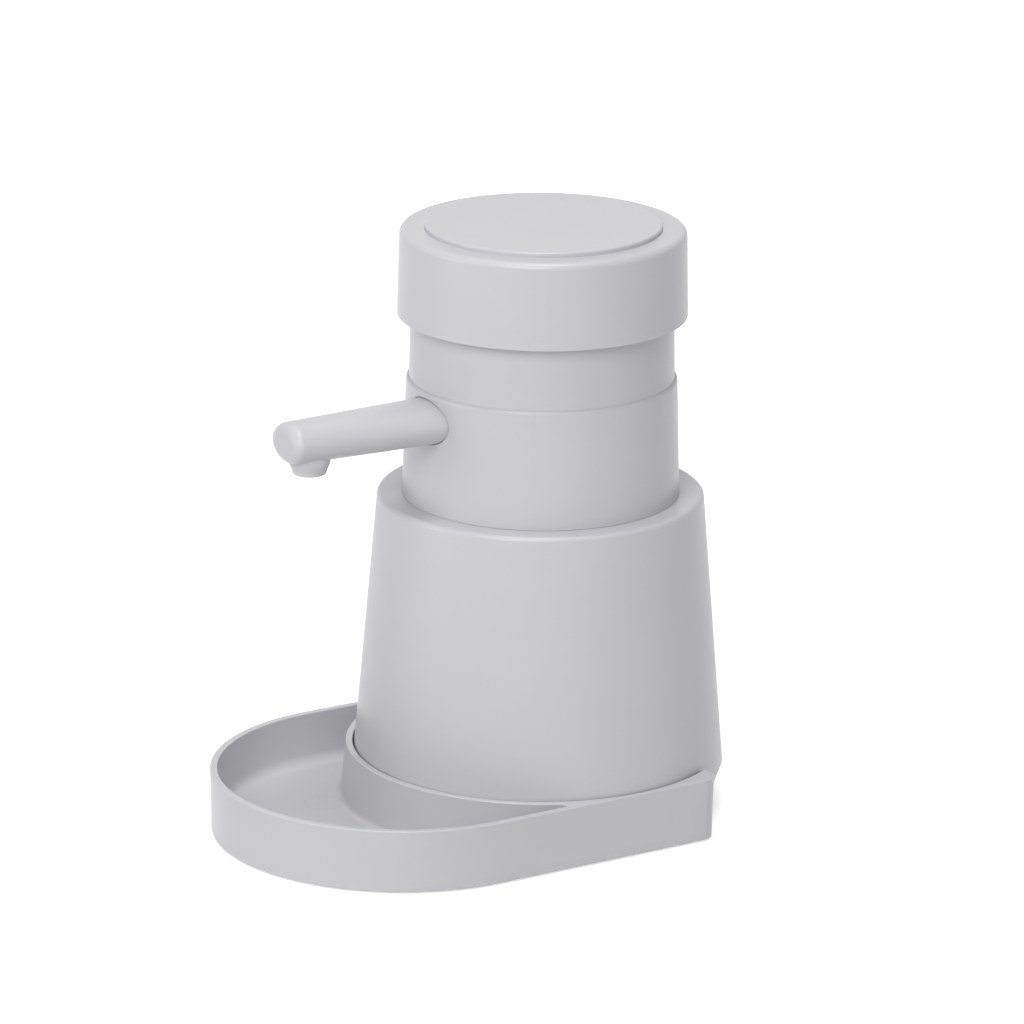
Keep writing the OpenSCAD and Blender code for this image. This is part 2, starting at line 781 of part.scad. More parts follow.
module spout_elbow() {
    at_axis() color(inner_white) difference() {
        union() {
            translate([riser_x, 0, link_low]) cylinder(r = link_r, h = spout_z + link_r - link_low);
            bar_x(nipple_r, riser_x, nipple_x, spout_z);
        }
        translate([riser_x, 0, link_low - cut])
            cylinder(r = riser_r + fit / 2, h = riser_top - link_low + cut + fit);
        translate([riser_x, 0, riser_top]) cylinder(r = riser_bore, h = spout_z - riser_top);
        bar_x(nipple_bore, riser_x, nipple_x + cut, spout_z);
        translate([riser_x, 0, spout_z]) sphere(nipple_bore);
    }
}

module spout_tube() {
    at_axis() color(shell_grey) difference() {
        union() {
            spout_form(0);
            bar_x(spout_step_r, spout_in_x, flange_x + cut, spout_z);
            oval_x(flange_side, flange_half, flange_x - spout_flange_t, flange_x, spout_z);
        }
        bar_x(nipple_r + fit / 2, spout_in_x - cut, nipple_x + fit, spout_z);
        bar_x(nipple_r + seal_t - fit, seal_x, seal_x + seal_t + fit, spout_z);
        bar_x(spout_bore, nipple_x, spout_reach - spout_end_t, spout_z);
        translate([nozzle_x, 0, spout_z - spout_root_half - cut])
            cylinder(r = shank_r + fit / 2, h = spout_root_half + cut);
    }
}

// Outside of the spout, all round wider by more: straight in the collar, then drawn in to a flat
// end with a round edge
module spout_form(more) {
    hull() {
        oval_x(spout_root_side + more, spout_root_half + more, flange_x, collar_foot_r, spout_z);
        for (a = [0:tip_turn:90]) {
            in = spout_tip_r * (1 - cos(a));
            end_x = spout_reach - spout_tip_r * (1 - sin(a));
            oval_x(spout_tip_side + more - in, spout_tip_half + more - in, end_x - slice, end_x, spout_z);
        }
    }
}

module spout_seal() {
    at_axis() color(seal_dark) difference() {
        bar_x(nipple_r + seal_t - 2 * fit, seal_x + fit / 2, seal_x + seal_t, spout_z);
        bar_x(nipple_r + fit / 4, seal_x - cut, seal_x + seal_t + cut, spout_z);
    }
}

module nozzle_tip() {
    at_axis() color(shell_grey) difference() {
        union() {
            difference() {
                translate([nozzle_x, 0, nozzle_low]) rotate_extrude() {
                    polygon([[0, 0], [nozzle_r - nozzle_edge_r, 0], [nozzle_r, nozzle_edge_r],
                        [nozzle_top_r, nozzle_drop], [nozzle_top_r, nozzle_drop + spout_tip_half],
                        [0, nozzle_drop + spout_tip_half]]);
                    translate([nozzle_r - nozzle_edge_r, nozzle_edge_r]) circle(nozzle_edge_r);
                }
                spout_form(fit / 2);
            }
            translate([nozzle_x, 0, nozzle_low + nozzle_drop / 2])
                cylinder(r = shank_r, h = spout_z - nozzle_low - nozzle_drop / 2 - spout_bore + fit);
        }
        translate([nozzle_x, 0, nozzle_low - cut]) cylinder(r = jet_r, h = spout_root_h * 3 / 2);
        translate([nozzle_x, 0, nozzle_low - cut])
            cylinder(r = valve_r + fit, h = cut + bill_len + valve_flange_t + run);
    }
}

module nozzle_valve() {
    at_axis() color(seal_dark) translate([nozzle_x, 0, nozzle_low + run]) difference() {
        union() {
            translate([0, 0, bill_len]) cylinder(r = valve_r, h = valve_flange_t);
            cylinder(r1 = jet_r / 2, r2 = jet_r + fit, h = bill_len + valve_flange_t / 2);
        }
        translate([0, 0, bill_len / 2]) cylinder(r = jet_r / 2 - fit, h = bill_len + valve_flange_t);
        translate([-valve_r, -bill_slit / 2, -cut]) cube([2 * valve_r, bill_slit, bill_len / 2 + cut]);
    }
}

module vent_valve() {
    at_axis() color(seal_dark) vent_place() {
        translate([0, 0, deck_z - vent_disc_t]) cylinder(r = vent_disc_r, h = vent_disc_t);
        translate([0, 0, deck_z - vent_disc_t])
            cylinder(r = vent_stem_r, h = deck_t + vent_disc_t + vent_knob_t);
        translate([0, 0, deck_top]) cylinder(r1 = vent_knob_r, r2 = vent_stem_r, h = vent_knob_t);
    }
}

module pin_places() {
    for (turn = [45:90:315]) rotate([0, 0, turn]) translate([pin_ring, 0, 0]) children();
}

module press_cap() {
    side_z = cap_top - cap_edge_r;
    at_axis() color(shell_grey) difference() {
        union() {
            difference() {
                rotate_extrude() {
                    polygon([[0, cap_z], [cap_r, cap_z], [cap_top_r, side_z],
                        [cap_top_r - cap_edge_r, cap_top], [0, cap_top]]);
                    translate([cap_top_r - cap_edge_r, side_z]) circle(cap_edge_r);
                }
                translate([0, 0, cap_z - cut / 2])
                    cylinder(r1 = cap_r - cap_wall, r2 = cap_top_r - cap_wall,
                        h = cap_under - cap_z + cut / 2);
            }
            translate([0, 0, cap_under - boss_len]) cylinder(r = boss_r, h = boss_len + cap_top_t / 3);
        }
        translate([0, 0, seat_z]) cylinder(r = pad_r + fit, h = pad_seat + cut);
        translate([0, 0, cap_under - boss_len - cut]) cylinder(r = stem_r + fit / 2, h = socket_len + cut);
        translate([0, 0, cap_under - boss_len]) cylinder(r = screw_r + fit, h = boss_len + cap_top_t);
        translate([0, 0, seat_z - screw_head_t - fit])
            cylinder(r = screw_head_r + fit, h = screw_head_t + cut);
        pin_places() translate([0, 0, cap_under - cut]) cylinder(r = pin_r + fit / 2, h = cap_top_t);
    }
}

module press_pad() {
    at_axis() color(shell_grey) {
        rotate_extrude() {
            polygon([[0, seat_z], [pad_r, seat_z], [pad_r, pad_top - pad_edge_r],
                [pad_r - pad_edge_r, pad_top], [0, pad_top]]);
            translate([pad_r - pad_edge_r, pad_top - pad_edge_r]) circle(pad_edge_r);
        }
        pin_places() translate([0, 0, cap_under - pin_tail])
            cylinder(r = pin_r, h = seat_z - cap_under + pin_tail + pad_proud);
    }
}

module plunger() {
    stem_top = cap_under - boss_len + socket_len - fit;
    at_axis() color(inner_white) difference() {
        union() {
            translate([0, 0, piston_top]) cylinder(r = stem_r, h = stem_top - piston_top);
            translate([0, 0, piston_top - tail_len]) cylinder(r = tail_r, h = tail_len + cut);
        }
        translate([0, 0, seat_z - screw_head_t - screw_len - run])
            cylinder(r = screw_r + pilot_gap, h = screw_len + 2 * cut);
    }
}

module plunger_screw() {
    head_z = seat_z - screw_head_t - fit;
    at_axis() color(steel) {
        translate([0, 0, head_z]) cylinder(r = screw_head_r, h = screw_head_t);
        translate([0, 0, head_z - screw_len + fit]) cylinder(r = screw_r, h = screw_len);
    }
}

// Points of one ring of the wire, at share t of the spring's length
function wire_ring(t) = [for (k = [0:wire_sides - 1]) let(
    turn = 360 * spring_turns * t,
    a = 360 * k / wire_sides,
    r = spring_r + wire_d / 2 * cos(a),
    rise = (wire_d + glide) / 2 + spring_pitch * spring_turns * t)
    [r * cos(turn), r * sin(turn), cup_floor + rise + wire_d / 2 * sin(a)]];

// The two triangles between side k of ring i and of the next ring
function wire_side(i, k) = let(
    a = i * wire_sides + k,
    b = i * wire_sides + (k + 1) % wire_sides)
    [[a, a + wire_sides, b], [b, a + wire_sides, b + wire_sides]];

module return_spring() {
    steps = spring_turns * ring_steps;
    last = steps * wire_sides;
    points = [for (i = [0:steps]) each wire_ring(i / steps)];
    sides = [for (i = [0:steps - 1], k = [0:wire_sides - 1]) each wire_side(i, k)];
    ends = [for (k = [1:wire_sides - 2]) each [[0, k, k + 1], [last, last + k + 1, last + k]]];
    at_axis() color(steel) polyhedron(points, concat(sides, ends));
}

module piston() {
    at_axis() color(inner_white) difference() {
        translate([0, 0, piston_z]) cylinder(r = piston_r, h = piston_h);
        tube(piston_r + cut, piston_groove_r, piston_z + piston_groove_z,
            piston_z + piston_groove_z + piston_groove_h);
        translate([0, 0, piston_top - tail_len - fit]) cylinder(r = tail_r + pilot_gap, h = tail_len + cut);
    }
}

module piston_seal() {
    at_axis() color(seal_dark) tube(barrel_r - glide, piston_groove_r + fit,
        piston_z + piston_groove_z + fit, piston_z + piston_groove_z + piston_groove_h - fit);
}

tray();
tray_feet();
bottle_shell();
bottle_base();
bottle_neck();
neck_oring();
neck_gasket();
collar_shell();
pump_deck();
deck_skirt();
deck_screws();
guide_cup();
guide_bush();
pump_barrel();
inlet_ball();
valve_retainer();
dip_tube();
strainer();
outlet_elbow();
outlet_ball();
riser_tube();
spout_elbow();
spout_tube();
spout_seal();
nozzle_tip();
nozzle_valve();
vent_valve();
press_cap();
press_pad();
plunger();
plunger_screw();
return_spring();
piston();
piston_seal();
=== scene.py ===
"""Hand sanitizer dispenser: the dressed model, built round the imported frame.

Every surface is a function of two parameters on a grid, worked out with numpy in metres in the frame's
own axes. The bottle's axis is upright at AXIS_X, and the spout points along +X.
"""

import json
import math

import bmesh
import bpy
import numpy as np
from mathutils import Matrix, Vector


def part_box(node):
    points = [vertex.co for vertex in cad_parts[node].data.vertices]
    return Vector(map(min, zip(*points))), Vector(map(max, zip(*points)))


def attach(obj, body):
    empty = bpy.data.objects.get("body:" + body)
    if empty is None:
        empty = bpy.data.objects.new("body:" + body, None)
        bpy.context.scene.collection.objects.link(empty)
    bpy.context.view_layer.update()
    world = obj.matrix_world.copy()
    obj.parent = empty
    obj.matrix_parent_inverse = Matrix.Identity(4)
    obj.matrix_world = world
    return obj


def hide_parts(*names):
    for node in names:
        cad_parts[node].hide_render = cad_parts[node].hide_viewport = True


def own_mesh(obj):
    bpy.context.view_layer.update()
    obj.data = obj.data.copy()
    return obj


bl_info = {
    "name": "Hand sanitizer dispenser",
    "version": (1, 0, 0),
    "blender": (4, 5, 0),
    "location": "View3D > Sidebar > Dispenser",
    "description": "Builds the shells, the tray, the spring and the finishes of a hand sanitizer dispenser",
    "category": "Add Mesh",
}

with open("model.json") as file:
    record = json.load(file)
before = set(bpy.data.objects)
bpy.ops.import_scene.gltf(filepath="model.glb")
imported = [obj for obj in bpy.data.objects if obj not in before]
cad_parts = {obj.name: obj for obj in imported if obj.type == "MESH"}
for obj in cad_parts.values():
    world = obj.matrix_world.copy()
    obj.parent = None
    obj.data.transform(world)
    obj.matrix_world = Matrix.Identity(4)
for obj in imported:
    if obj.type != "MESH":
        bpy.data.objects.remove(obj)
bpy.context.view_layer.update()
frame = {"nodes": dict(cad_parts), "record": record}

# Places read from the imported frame
MM = 0.001
TRAY_LOW, TRAY_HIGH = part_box("tray")
BOTTLE_LOW, BOTTLE_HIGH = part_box("bottle_shell")
NECK_LOW, NECK_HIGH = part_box("bottle_neck")
BASE_LOW, BASE_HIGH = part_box("bottle_base")
COLLAR_LOW, COLLAR_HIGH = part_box("collar_shell")
CAP_LOW, CAP_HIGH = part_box("press_cap")
PAD_LOW, PAD_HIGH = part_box("press_pad")
SPOUT_LOW, SPOUT_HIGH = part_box("spout_tube")
NOZZLE_LOW, NOZZLE_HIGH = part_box("nozzle_tip")
SPRING_LOW, SPRING_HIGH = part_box("return_spring")
FOOT_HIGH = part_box("tray_feet")[1]
AXIS_X = (BOTTLE_LOW.x + BOTTLE_HIGH.x) / 2

# Sizes that more than one piece or step uses; a point this NEAR a round keeps the face beside it flat
FOOT_RADIUS = 5 * MM
NEAR = 0.05 * MM
FINE_STEPS = 256
SHARP_ANGLE = math.radians(38)
MERGE = 1e-6
GRAIN_RANGE = (0.3, 0.7)

# The mark of the mould's gate on the basin's floor: a faint dented ring, with painted shade along it
GATE_PLACE = (AXIS_X + 50.1 * MM, -18.6 * MM, TRAY_LOW.z + 2 * MM)
GATE_RADIUS = 4.5 * MM

# The camera, the point that the lamps look at, and half of the floor's side
CAMERA_PLACE = (0.7621, 1.23274, 0.5283)
CAMERA_LOOK = (-0.5077, -0.8086, -0.2971)
CAMERA_ROLL = math.radians(0.568)
CAMERA_LENS = 221.6
LAMP_AIM = (AXIS_X, 0, 0.07)
FLOOR_HALF = 6.0


def length(name, text, default):
    """A size in metres."""
    return bpy.props.FloatProperty(
        name=name, description=text, default=default, min=0, unit="LENGTH", precision=5)


def mm(name, text, default):
    """A size with its default in millimetres."""
    return length(name, text, default * MM)


def colour(name, text, default):
    """A linear colour."""
    return bpy.props.FloatVectorProperty(
        name=name, description=text, default=default, min=0, max=1, size=3, subtype="COLOR")


def share(name, text, default, high=1.0):
    """A plain number from zero up."""
    return bpy.props.FloatProperty(name=name, description=text, default=default, min=0, max=high)


class TraySizes(bpy.types.PropertyGroup):
    half_width: length("Half width", "Half of the tray's width", TRAY_HIGH.y)
    reach: length("Reach", "Bottle axis to the centre of the round front",
        TRAY_HIGH.x - AXIS_X - TRAY_HIGH.y)
    back: length("Back", "Bottle axis to the flat back", AXIS_X - TRAY_LOW.x)
    corner: mm("Corner", "Radius of the back corners", 5)
    horn: mm("Horn corner", "Radius of the corner beside the pocket", 0.8)
    floor: mm("Floor", "Thickness of the floor", 2)
    wall: mm("Wall", "Thickness of the wall round the basin", 1.8)
    pocket: mm("Pocket radius", "Radius of the bottle's pocket", 45.4)
    ring: mm("Ring radius", "Outer radius of the wall round the pocket", 47.1)
    ring_lean: mm("Ring lean", "How far the ring's wall stands out at its foot", 1.1)
    end: mm("Basin end", "Radius of the basin's two narrow ends", 1.1)
    fillet: mm("Basin fillet", "Round between the basin's wall and floor", 3)
    ring_fillet: mm("Ring fillet", "Round between the ring and the floor", 1.5)
    edge: mm("Edge", "Radius of the tray's edges", 0.3)
    draft: mm("Draft", "How far the outer wall leans in", 0.3)


class BottleSizes(bpy.types.PropertyGroup):
    foot: mm("Foot radius", "Radius of the foot above its lower round", 43.1)
    foot_edge: mm("Foot edge", "Radius of the foot's lower edge", 2.4)
    seam: length("Seam height", "Height of the seam between base and shell", BOTTLE_LOW.z)
    seam_radius: length("Seam radius", "Radius at the seam", BOTTLE_HIGH.x - AXIS_X)
    seam_bevel: mm("Seam bevel", "Bevel on both sides of the seam", 0.12)
    side: mm("Side radius", "Radius where the shoulder's edge starts", 39.65)
    edge: mm("Shoulder edge", "Radius of the shoulder's outer edge", 1.2)
    dip: mm("Shoulder dip", "How far the shoulder lies below its rim", 0.1)
    wall: mm("Wall", "Thickness of the wall", 2.2)
    end: mm("End thickness", "Thickness of floor and shoulder", 2)
    mouth: mm("Mouth", "Radius of the mouth", 24.5)
    groove: mm("Groove", "Radius at the bottom of the seal's groove", 25.76)
    groove_height: mm("Groove height", "Height of the seal's groove", 2.6)
    groove_place: mm("Groove place", "The groove's middle above the shoulder", 6.38)


class CollarSizes(bpy.types.PropertyGroup):
    foot: mm("Foot radius", "Radius above the flare", 33.55)
    flare: mm("Flare", "How far the foot flares out", 0.1)
    drop: mm("Foot drop", "How far the foot reaches down", 0.35)
    flare_height: mm("Flare height", "Height of the flare", 2)
    rim: mm("Rim radius", "Radius of the rim", 32.75)
    rim_height: mm("Rim height", "Height of the rim", 108.9)
    rim_edge: mm("Rim edge", "Width of the rim's oval round", 0.62)
    rim_rise: mm("Rim rise", "Height of the rim's oval round", 1)
    neck: mm("Guide neck", "Radius of the neck at its foot", 32.05)
    neck_top: mm("Guide neck top", "Radius of the neck at its top", 31.7)
    bore: mm("Upper bore", "Radius of the bore above the rim", 29.8)
    clamp: mm("Clamp bore", "Radius of the bore below the rim", 29.85)
    deck: mm("Deck bore", "Radius of the bore round the deck", 30.95)
    deck_top: mm("Deck top", "Height of the deck's upper face", 94.9)
    ledge: mm("Ledge radius", "Inner radius of the guide cup's ledge", 26.6)
    ledge_low: mm("Ledge underside", "Height of its underside", 123.5)
    ledge_high: mm("Ledge top", "Height of its upper face", 125.5)


class SpoutSizes(bpy.types.PropertyGroup):
    height: mm("Height", "Height of the spout's axis", 102)
    root: mm("Root half height", "Half of the oval's height at the collar", 5.4)
    root_side: mm("Root half width", "Half of the oval's width at the collar", 8.75)
    tip: mm("Tip half height", "Half of the oval's height at the tip", 5)
    tip_side: mm("Tip half width", "Half of the oval's width at the tip", 6.85)
    reach: mm("Reach", "How far the tip reaches further out", 0.45)
    tip_edge: mm("Tip edge", "Radius of the tip's edge", 2.4)
    straight: mm("Straight", "Bottle axis to where the spout begins to narrow", 33.55)
    gap: mm("Gap", "Gap between the spout and the collar's hole", 0.16)
    boss_over: mm("Boss over", "How much wider the boss is", 1.1)
    boss_face: mm("Boss face", "Bottle axis to the boss's inner face", 26.85)
    flange: mm("Flange", "Thickness of the flange behind the boss", 1.4)
    step: mm("Step", "Radius of the step behind the flange", 5.2)
    socket: mm("Socket", "Radius of the socket for the elbow's nipple", 3.65)
    bore: mm("Bore", "Radius of the spout's bore", 3.2)
    end: mm("End", "Thickness of the spout's closed end", 3.4)
    nozzle: mm("Nozzle radius", "Radius of the nozzle at its lower edge", 4.1)
    nozzle_top: mm("Nozzle top", "Radius of the nozzle against the spout", 5)
    nozzle_edge: mm("Nozzle edge", "Radius of the nozzle's lower edge", 0.6)
    nozzle_flare: mm("Nozzle flare", "Height over which the nozzle widens", 3.2)
    nozzle_bore: mm("Nozzle bore", "Radius of the nozzle's bore", 2.5)


class HeadSizes(bpy.types.PropertyGroup):
    top: mm("Top radius", "Radius below the top edge", 34.55)
    wall: mm("Wall", "Thickness of the skirt", 1.8)
    edge: mm("Top edge", "Radius of the top edge", 1.6)
    lower_edge: mm("Lower edge", "Radius of the skirt's lower edge", 0.15)
    under: mm("Underside", "Height of the underside of the top", 142.3)
    seat: mm("Seat", "Height of the seat under the pad", 144.3)
    pad_edge: mm("Pad edge", "Radius of the pad's edge", 0.55)
    boss: mm("Boss", "Outer radius of the stem's socket", 7)
    boss_length: mm("Boss length", "Length of the socket's boss", 6)
    socket: mm("Socket", "Radius of the socket", 4.05)
    socket_depth: mm("Socket depth", "Depth of the socket", 4)
    screw: mm("Screw hole", "Radius of the screw's hole", 1.3)
    screw_head: mm("Counterbore", "Radius round the screw's head", 2.8)
    screw_seat: mm("Counterbore floor", "Height of the counterbore's floor", 142.6)
    pin: mm("Pin", "Radius of the pad's pins", 1.2)
    pin_ring: mm("Pin ring", "Radius of the ring of pins", 20.37)


class SpringSizes(bpy.types.PropertyGroup):
    mean: mm("Mean radius", "Radius to the middle of the wire", 9)
    wire: mm("Wire radius", "Radius of the wire", 0.7)
    turns: bpy.props.IntProperty(name="Turns", description="Open turns between the closed ends",
        default=6, min=3, max=12)
    keep: share("Pressed share", "Share of its length that the spring keeps when pressed", 18.4 / 31.4)


class Finishes(bpy.types.PropertyGroup):
    shell: colour("Shell", "Satin plastic of all outer shells", (0.578, 0.577, 0.600))
    shell_rough: share("Shell roughness", "Roughness of the outer shells", 0.34)
    inner: colour("Inner parts", "Plain plastic of the pump's parts", (0.78, 0.78, 0.765))
    inner_rough: share("Inner roughness", "Roughness of the pump's parts", 0.38)
    seal: colour("Seals", "Dark rubber of the seals", (0.030, 0.030, 0.033))
    feet: colour("Feet", "Grey rubber of the feet", (0.16, 0.165, 0.17))
    steel: colour("Steel", "Steel of spring, balls and screws", (0.60, 0.61, 0.62))


class StageSettings(bpy.types.PropertyGroup):
    key: share("Key", "Power of the large lamp above the camera, in watts", 7.9, 500)
    left: share("Left", "Power of the upright panel at the left, in watts", 4.1, 500)
    right: share("Right", "Power of the upright panel at the right, in watts", 1.9, 500)
    top: share("Top", "Power of the lamp overhead, in watts", 6.9, 500)
    back: share("Back", "Power of the lamp behind, in watts", 1.5, 500)
    sky: share("Sky", "Level of the even light from all round", 0.15, 5)
    floor_glow: share("Floor glow", "How white the floor near the object looks by itself", 0.6)


def arc(cx, cz, radius, start, stop, n=8):
    """Points at equal angles on a circle: centre plus radius times cosine and sine, in degrees."""
    a = np.radians(np.linspace(start, stop, n + 1))
    return np.column_stack((cx + radius * np.cos(a), cz + radius * np.sin(a)))


def chain(*parts):
    """Joins points and runs of points into one profile."""
    return np.vstack([np.atleast_2d(np.asarray(p, float)) for p in parts])


def held(profile, keep=NEAR, least=1.2 * MM, loop=False):
    """The profile with a point added close to both ends of each straight run longer than least.

    A run from p to q gains p + keep * (q - p) / |q - p| and the like at q, so that smooth shading stays
    flat on the run and turns only in the rounds.
    """
    start = profile if loop else profile[:-1]
    stop = np.roll(profile, -1, axis=0) if loop else profile[1:]
    run = stop - start
    size = np.maximum(np.linalg.norm(run, axis=1, keepdims=True), 1e-12)
    near = start + run / size * keep
    far = stop - run / size * keep
    rows = np.stack((start, near, far), axis=1).reshape(-1, profile.shape[1])
    long_run = size[:, 0] > least
    use = np.stack((np.ones_like(long_run), long_run, long_run), axis=1).reshape(-1)
    rows = rows[use]
    return rows if loop else np.vstack((rows, profile[-1:]))


def grid(rows, cols, wrap_rows=False, wrap_cols=True):
    """Quads between neighbouring rows and columns of a grid of points."""
    i, j = np.meshgrid(np.arange(rows if wrap_rows else rows - 1),
        np.arange(cols if wrap_cols else cols - 1), indexing="ij")
    up = (i + 1) % rows
    side = (j + 1) % cols
    quads = np.stack((i * cols + j, i * cols + side, up * cols + side, up * cols + j), axis=-1)
    return quads.reshape(-1, 4)


def turned(profile, steps=192, loop=False, centre=(AXIS_X, 0.0)):
    """A profile of radius and height turned about an upright axis.

    Each point goes to (r cos a, r sin a, h) about the centre, for steps equal angles a.
    """
    a = np.linspace(-np.pi, np.pi, steps, endpoint=False)
    r = profile[:, :1]
    x = centre[0] + r * np.cos(a)
    y = centre[1] + r * np.sin(a)
    z = profile[:, 1:] + 0 * a
    return np.stack((x, y, z), axis=-1).reshape(-1, 3), grid(len(profile), steps, wrap_rows=loop)


def turned_ring(profile, steps=FINE_STEPS):
    """A closed profile turned into a ring-shaped body."""
    return turned(held(profile, loop=True), steps, loop=True)


def ovals(profile, height, steps=160):
    """Rows of distance, half width w and half height h, each the oval (w cos a, h sin a) in y and z."""
    a = np.linspace(0, 2 * np.pi, steps, endpoint=False)
    x = AXIS_X + profile[:, :1] + 0 * a
    y = profile[:, 1:2] * np.cos(a)
    z = height + profile[:, 2:] * np.sin(a)
    return np.stack((x, y, z), axis=-1).reshape(-1, 3), grid(len(profile), steps)


def joined(*parts):
    """Several surfaces as one list of points and quads."""
    starts = np.cumsum([0] + [len(points) for points, quads in parts])
    points = np.vstack([points for points, quads in parts])
    quads = np.vstack([quads + start for (points_, quads), start in zip(parts, starts)])
    return points, quads


def fill_level(bm, level):
    """Fills the open loops that lie at that height with flat triangles, leaving inner loops open."""
    rim = [e for e in bm.edges if e.is_boundary
        and all(abs(v.co.z - level) < 2 * MERGE for v in e.verts)]
    bmesh.ops.triangle_fill(bm, use_beauty=True, edges=rim, normal=(0, 0, 1))


def put(name, surface, body, nodes, material, levels=()):
    """Makes the object: merges the points that coincide, fills level holes and turns faces outwards."""
    points, quads = surface
    mesh = bpy.data.meshes.new(name)
    mesh.from_pydata(points.tolist(), [], quads.tolist())
    bm = bmesh.new()
    bm.from_mesh(mesh)
    bmesh.ops.remove_doubles(bm, verts=bm.verts, dist=MERGE)
    bmesh.ops.dissolve_degenerate(bm, dist=1e-7, edges=bm.edges)
    for level in levels:
        fill_level(bm, level)
    bmesh.ops.recalc_face_normals(bm, faces=bm.faces)
    if bm.calc_volume(signed=True) < 0:
        bmesh.ops.reverse_faces(bm, faces=bm.faces)
    open_edges = sum(e.is_boundary for e in bm.edges)
    if open_edges:
        raise RuntimeError(f"{name} is left open at {open_edges} edges")
    bm.to_mesh(mesh)
    bm.free()
    mesh.polygons.foreach_set("use_smooth", np.ones(len(mesh.polygons), bool))
    mesh.set_sharp_from_angle(angle=SHARP_ANGLE)
    mesh.materials.append(material)
    piece = bpy.data.objects.new(name, mesh)
    bpy.context.scene.collection.objects.link(piece)
    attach(piece, body)
    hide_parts(*nodes)
    return piece


def outline_run(points, normals):
    """Points and outward directions of one stretch of an outline, as rows of x, y, nx, ny."""
    return np.hstack((points, normals + 0 * points))


def outline_arc(cx, cy, radius, start, stop, n, outward=1):
    """A stretch of an outline that follows a circle; outward is -1 where the material lies outside it."""
    a = np.radians(np.linspace(start, stop, n + 1))
    away = np.column_stack((np.cos(a), np.sin(a)))
    return outline_run(np.array((cx, cy)) + radius * away, outward * away)


def outline_line(start, stop, n, normal):
    """A straight stretch of an outline, without its two end points."""
    t = np.linspace(0, 1, n + 2)[1:-1, None]
    return outline_run(np.array(start) * (1 - t) + np.array(stop) * t, np.array(normal, float))


def tray_outlines(s):
    """The tray's outline above its floor and below it, with the same number of points.

    Both go round the outer wall from one back horn to the other. Above the floor the outline then follows
    the pocket; below it runs straight along the back. The last column says how far the outer wall's lean
    applies: 1 on the wall, 0 in the pocket, and in between round the horns' inner corners.
    """
    w, back, c, q = s.half_width, s.back, s.corner, s.horn
    cx = q - back
    cy = math.sqrt((s.pocket + q) ** 2 - cx ** 2)
    turn = math.degrees(math.atan2(cy, cx))
    outer = np.vstack((
        outline_line((-back, -cy), (-back, c - w), 2, (-1, 0)),
        outline_arc(c - back, c - w, c, 180, 270, 12),
        outline_line((c - back, -w), (s.reach, -w), 16, (0, -1)),
        outline_arc(s.reach, 0, w, -90, 90, 96),
        outline_line((s.reach, w), (c - back, w), 16, (0, 1)),
        outline_arc(c - back, w - c, c, 90, 180, 12),
        outline_line((-back, w - c), (-back, cy), 2, (-1, 0))))
    horn = outline_arc(cx, cy, q, 180, 180 + turn, 10)
    other = outline_arc(cx, -cy, q, 180 - turn, 180, 10)
    pocket = outline_arc(0, 0, s.pocket, turn, -turn, 150, -1)[1:-1]
    above = np.vstack((outer, horn, pocket, other))
    inner = len(above) - len(outer)
    line = outline_run(np.column_stack((np.full(inner, -back), np.linspace(cy, -cy, inner))),
        np.array((-1.0, 0.0)))
    below = np.vstack((outer, line))
    lean = np.concatenate((np.ones(len(outer)), np.linspace(1, 0, len(horn)),
        np.zeros(len(pocket)), np.linspace(0, 1, len(other))))
    return above, below, lean


def round_rows(radius, low, n=5):
    """Offsets and heights of a quarter round that ends level, with one more row on the flat."""
    a = np.radians(np.linspace(0, 90, n + 1))
    inward = np.append(radius * (1 - np.cos(a)), radius + NEAR)
    rise = np.append(low + radius * np.sin(a), low + radius)
    return inward, rise


def walls(outline, inward, heights):
    """Rows of an outline moved inwards along its own directions: place - direction * inward."""
    x = AXIS_X + outline[None, :, 0] - outline[None, :, 2] * inward
    y = outline[None, :, 1] - outline[None, :, 3] * inward
    return np.stack((x, y, heights + 0 * x), axis=-1)


def basin_edges(s):
    """The basin's outer and inner edges from one narrow end to the other, with the same number of points.

    The outer edge follows the tray's wall, the inner one the ring round the pocket. Each starts and ends
    halfway round the small circles that close the two ends.
    """
    r, ring, e = s.half_width - s.wall, s.ring, s.end
    ex = math.sqrt((ring + e) ** 2 - (r - e) ** 2)
    ey = r - e
    turn = math.degrees(math.atan2(ey, ex))
    middle = (90 + 180 + turn) / 2
    outer = np.vstack((
        outline_arc(ex, ey, e, middle, 90, 10, -1),
        outline_line((ex, r), (s.reach, r), 13, (0, -1)),
        outline_arc(s.reach, 0, r, 90, -90, 110, -1),
        outline_line((s.reach, -r), (ex, -r), 13, (0, 1)),
        outline_arc(ex, -ey, e, -90, -middle, 10, -1)))
    inner = np.vstack((
        outline_arc(ex, ey, e, middle, 180 + turn, 10, -1)[:-1],
        outline_arc(0, 0, ring, turn, -turn, len(outer) - 21, 1),
        outline_arc(ex, -ey, e, -180 - turn, -middle, 10, -1)[1:]))
    return outer, inner, ex


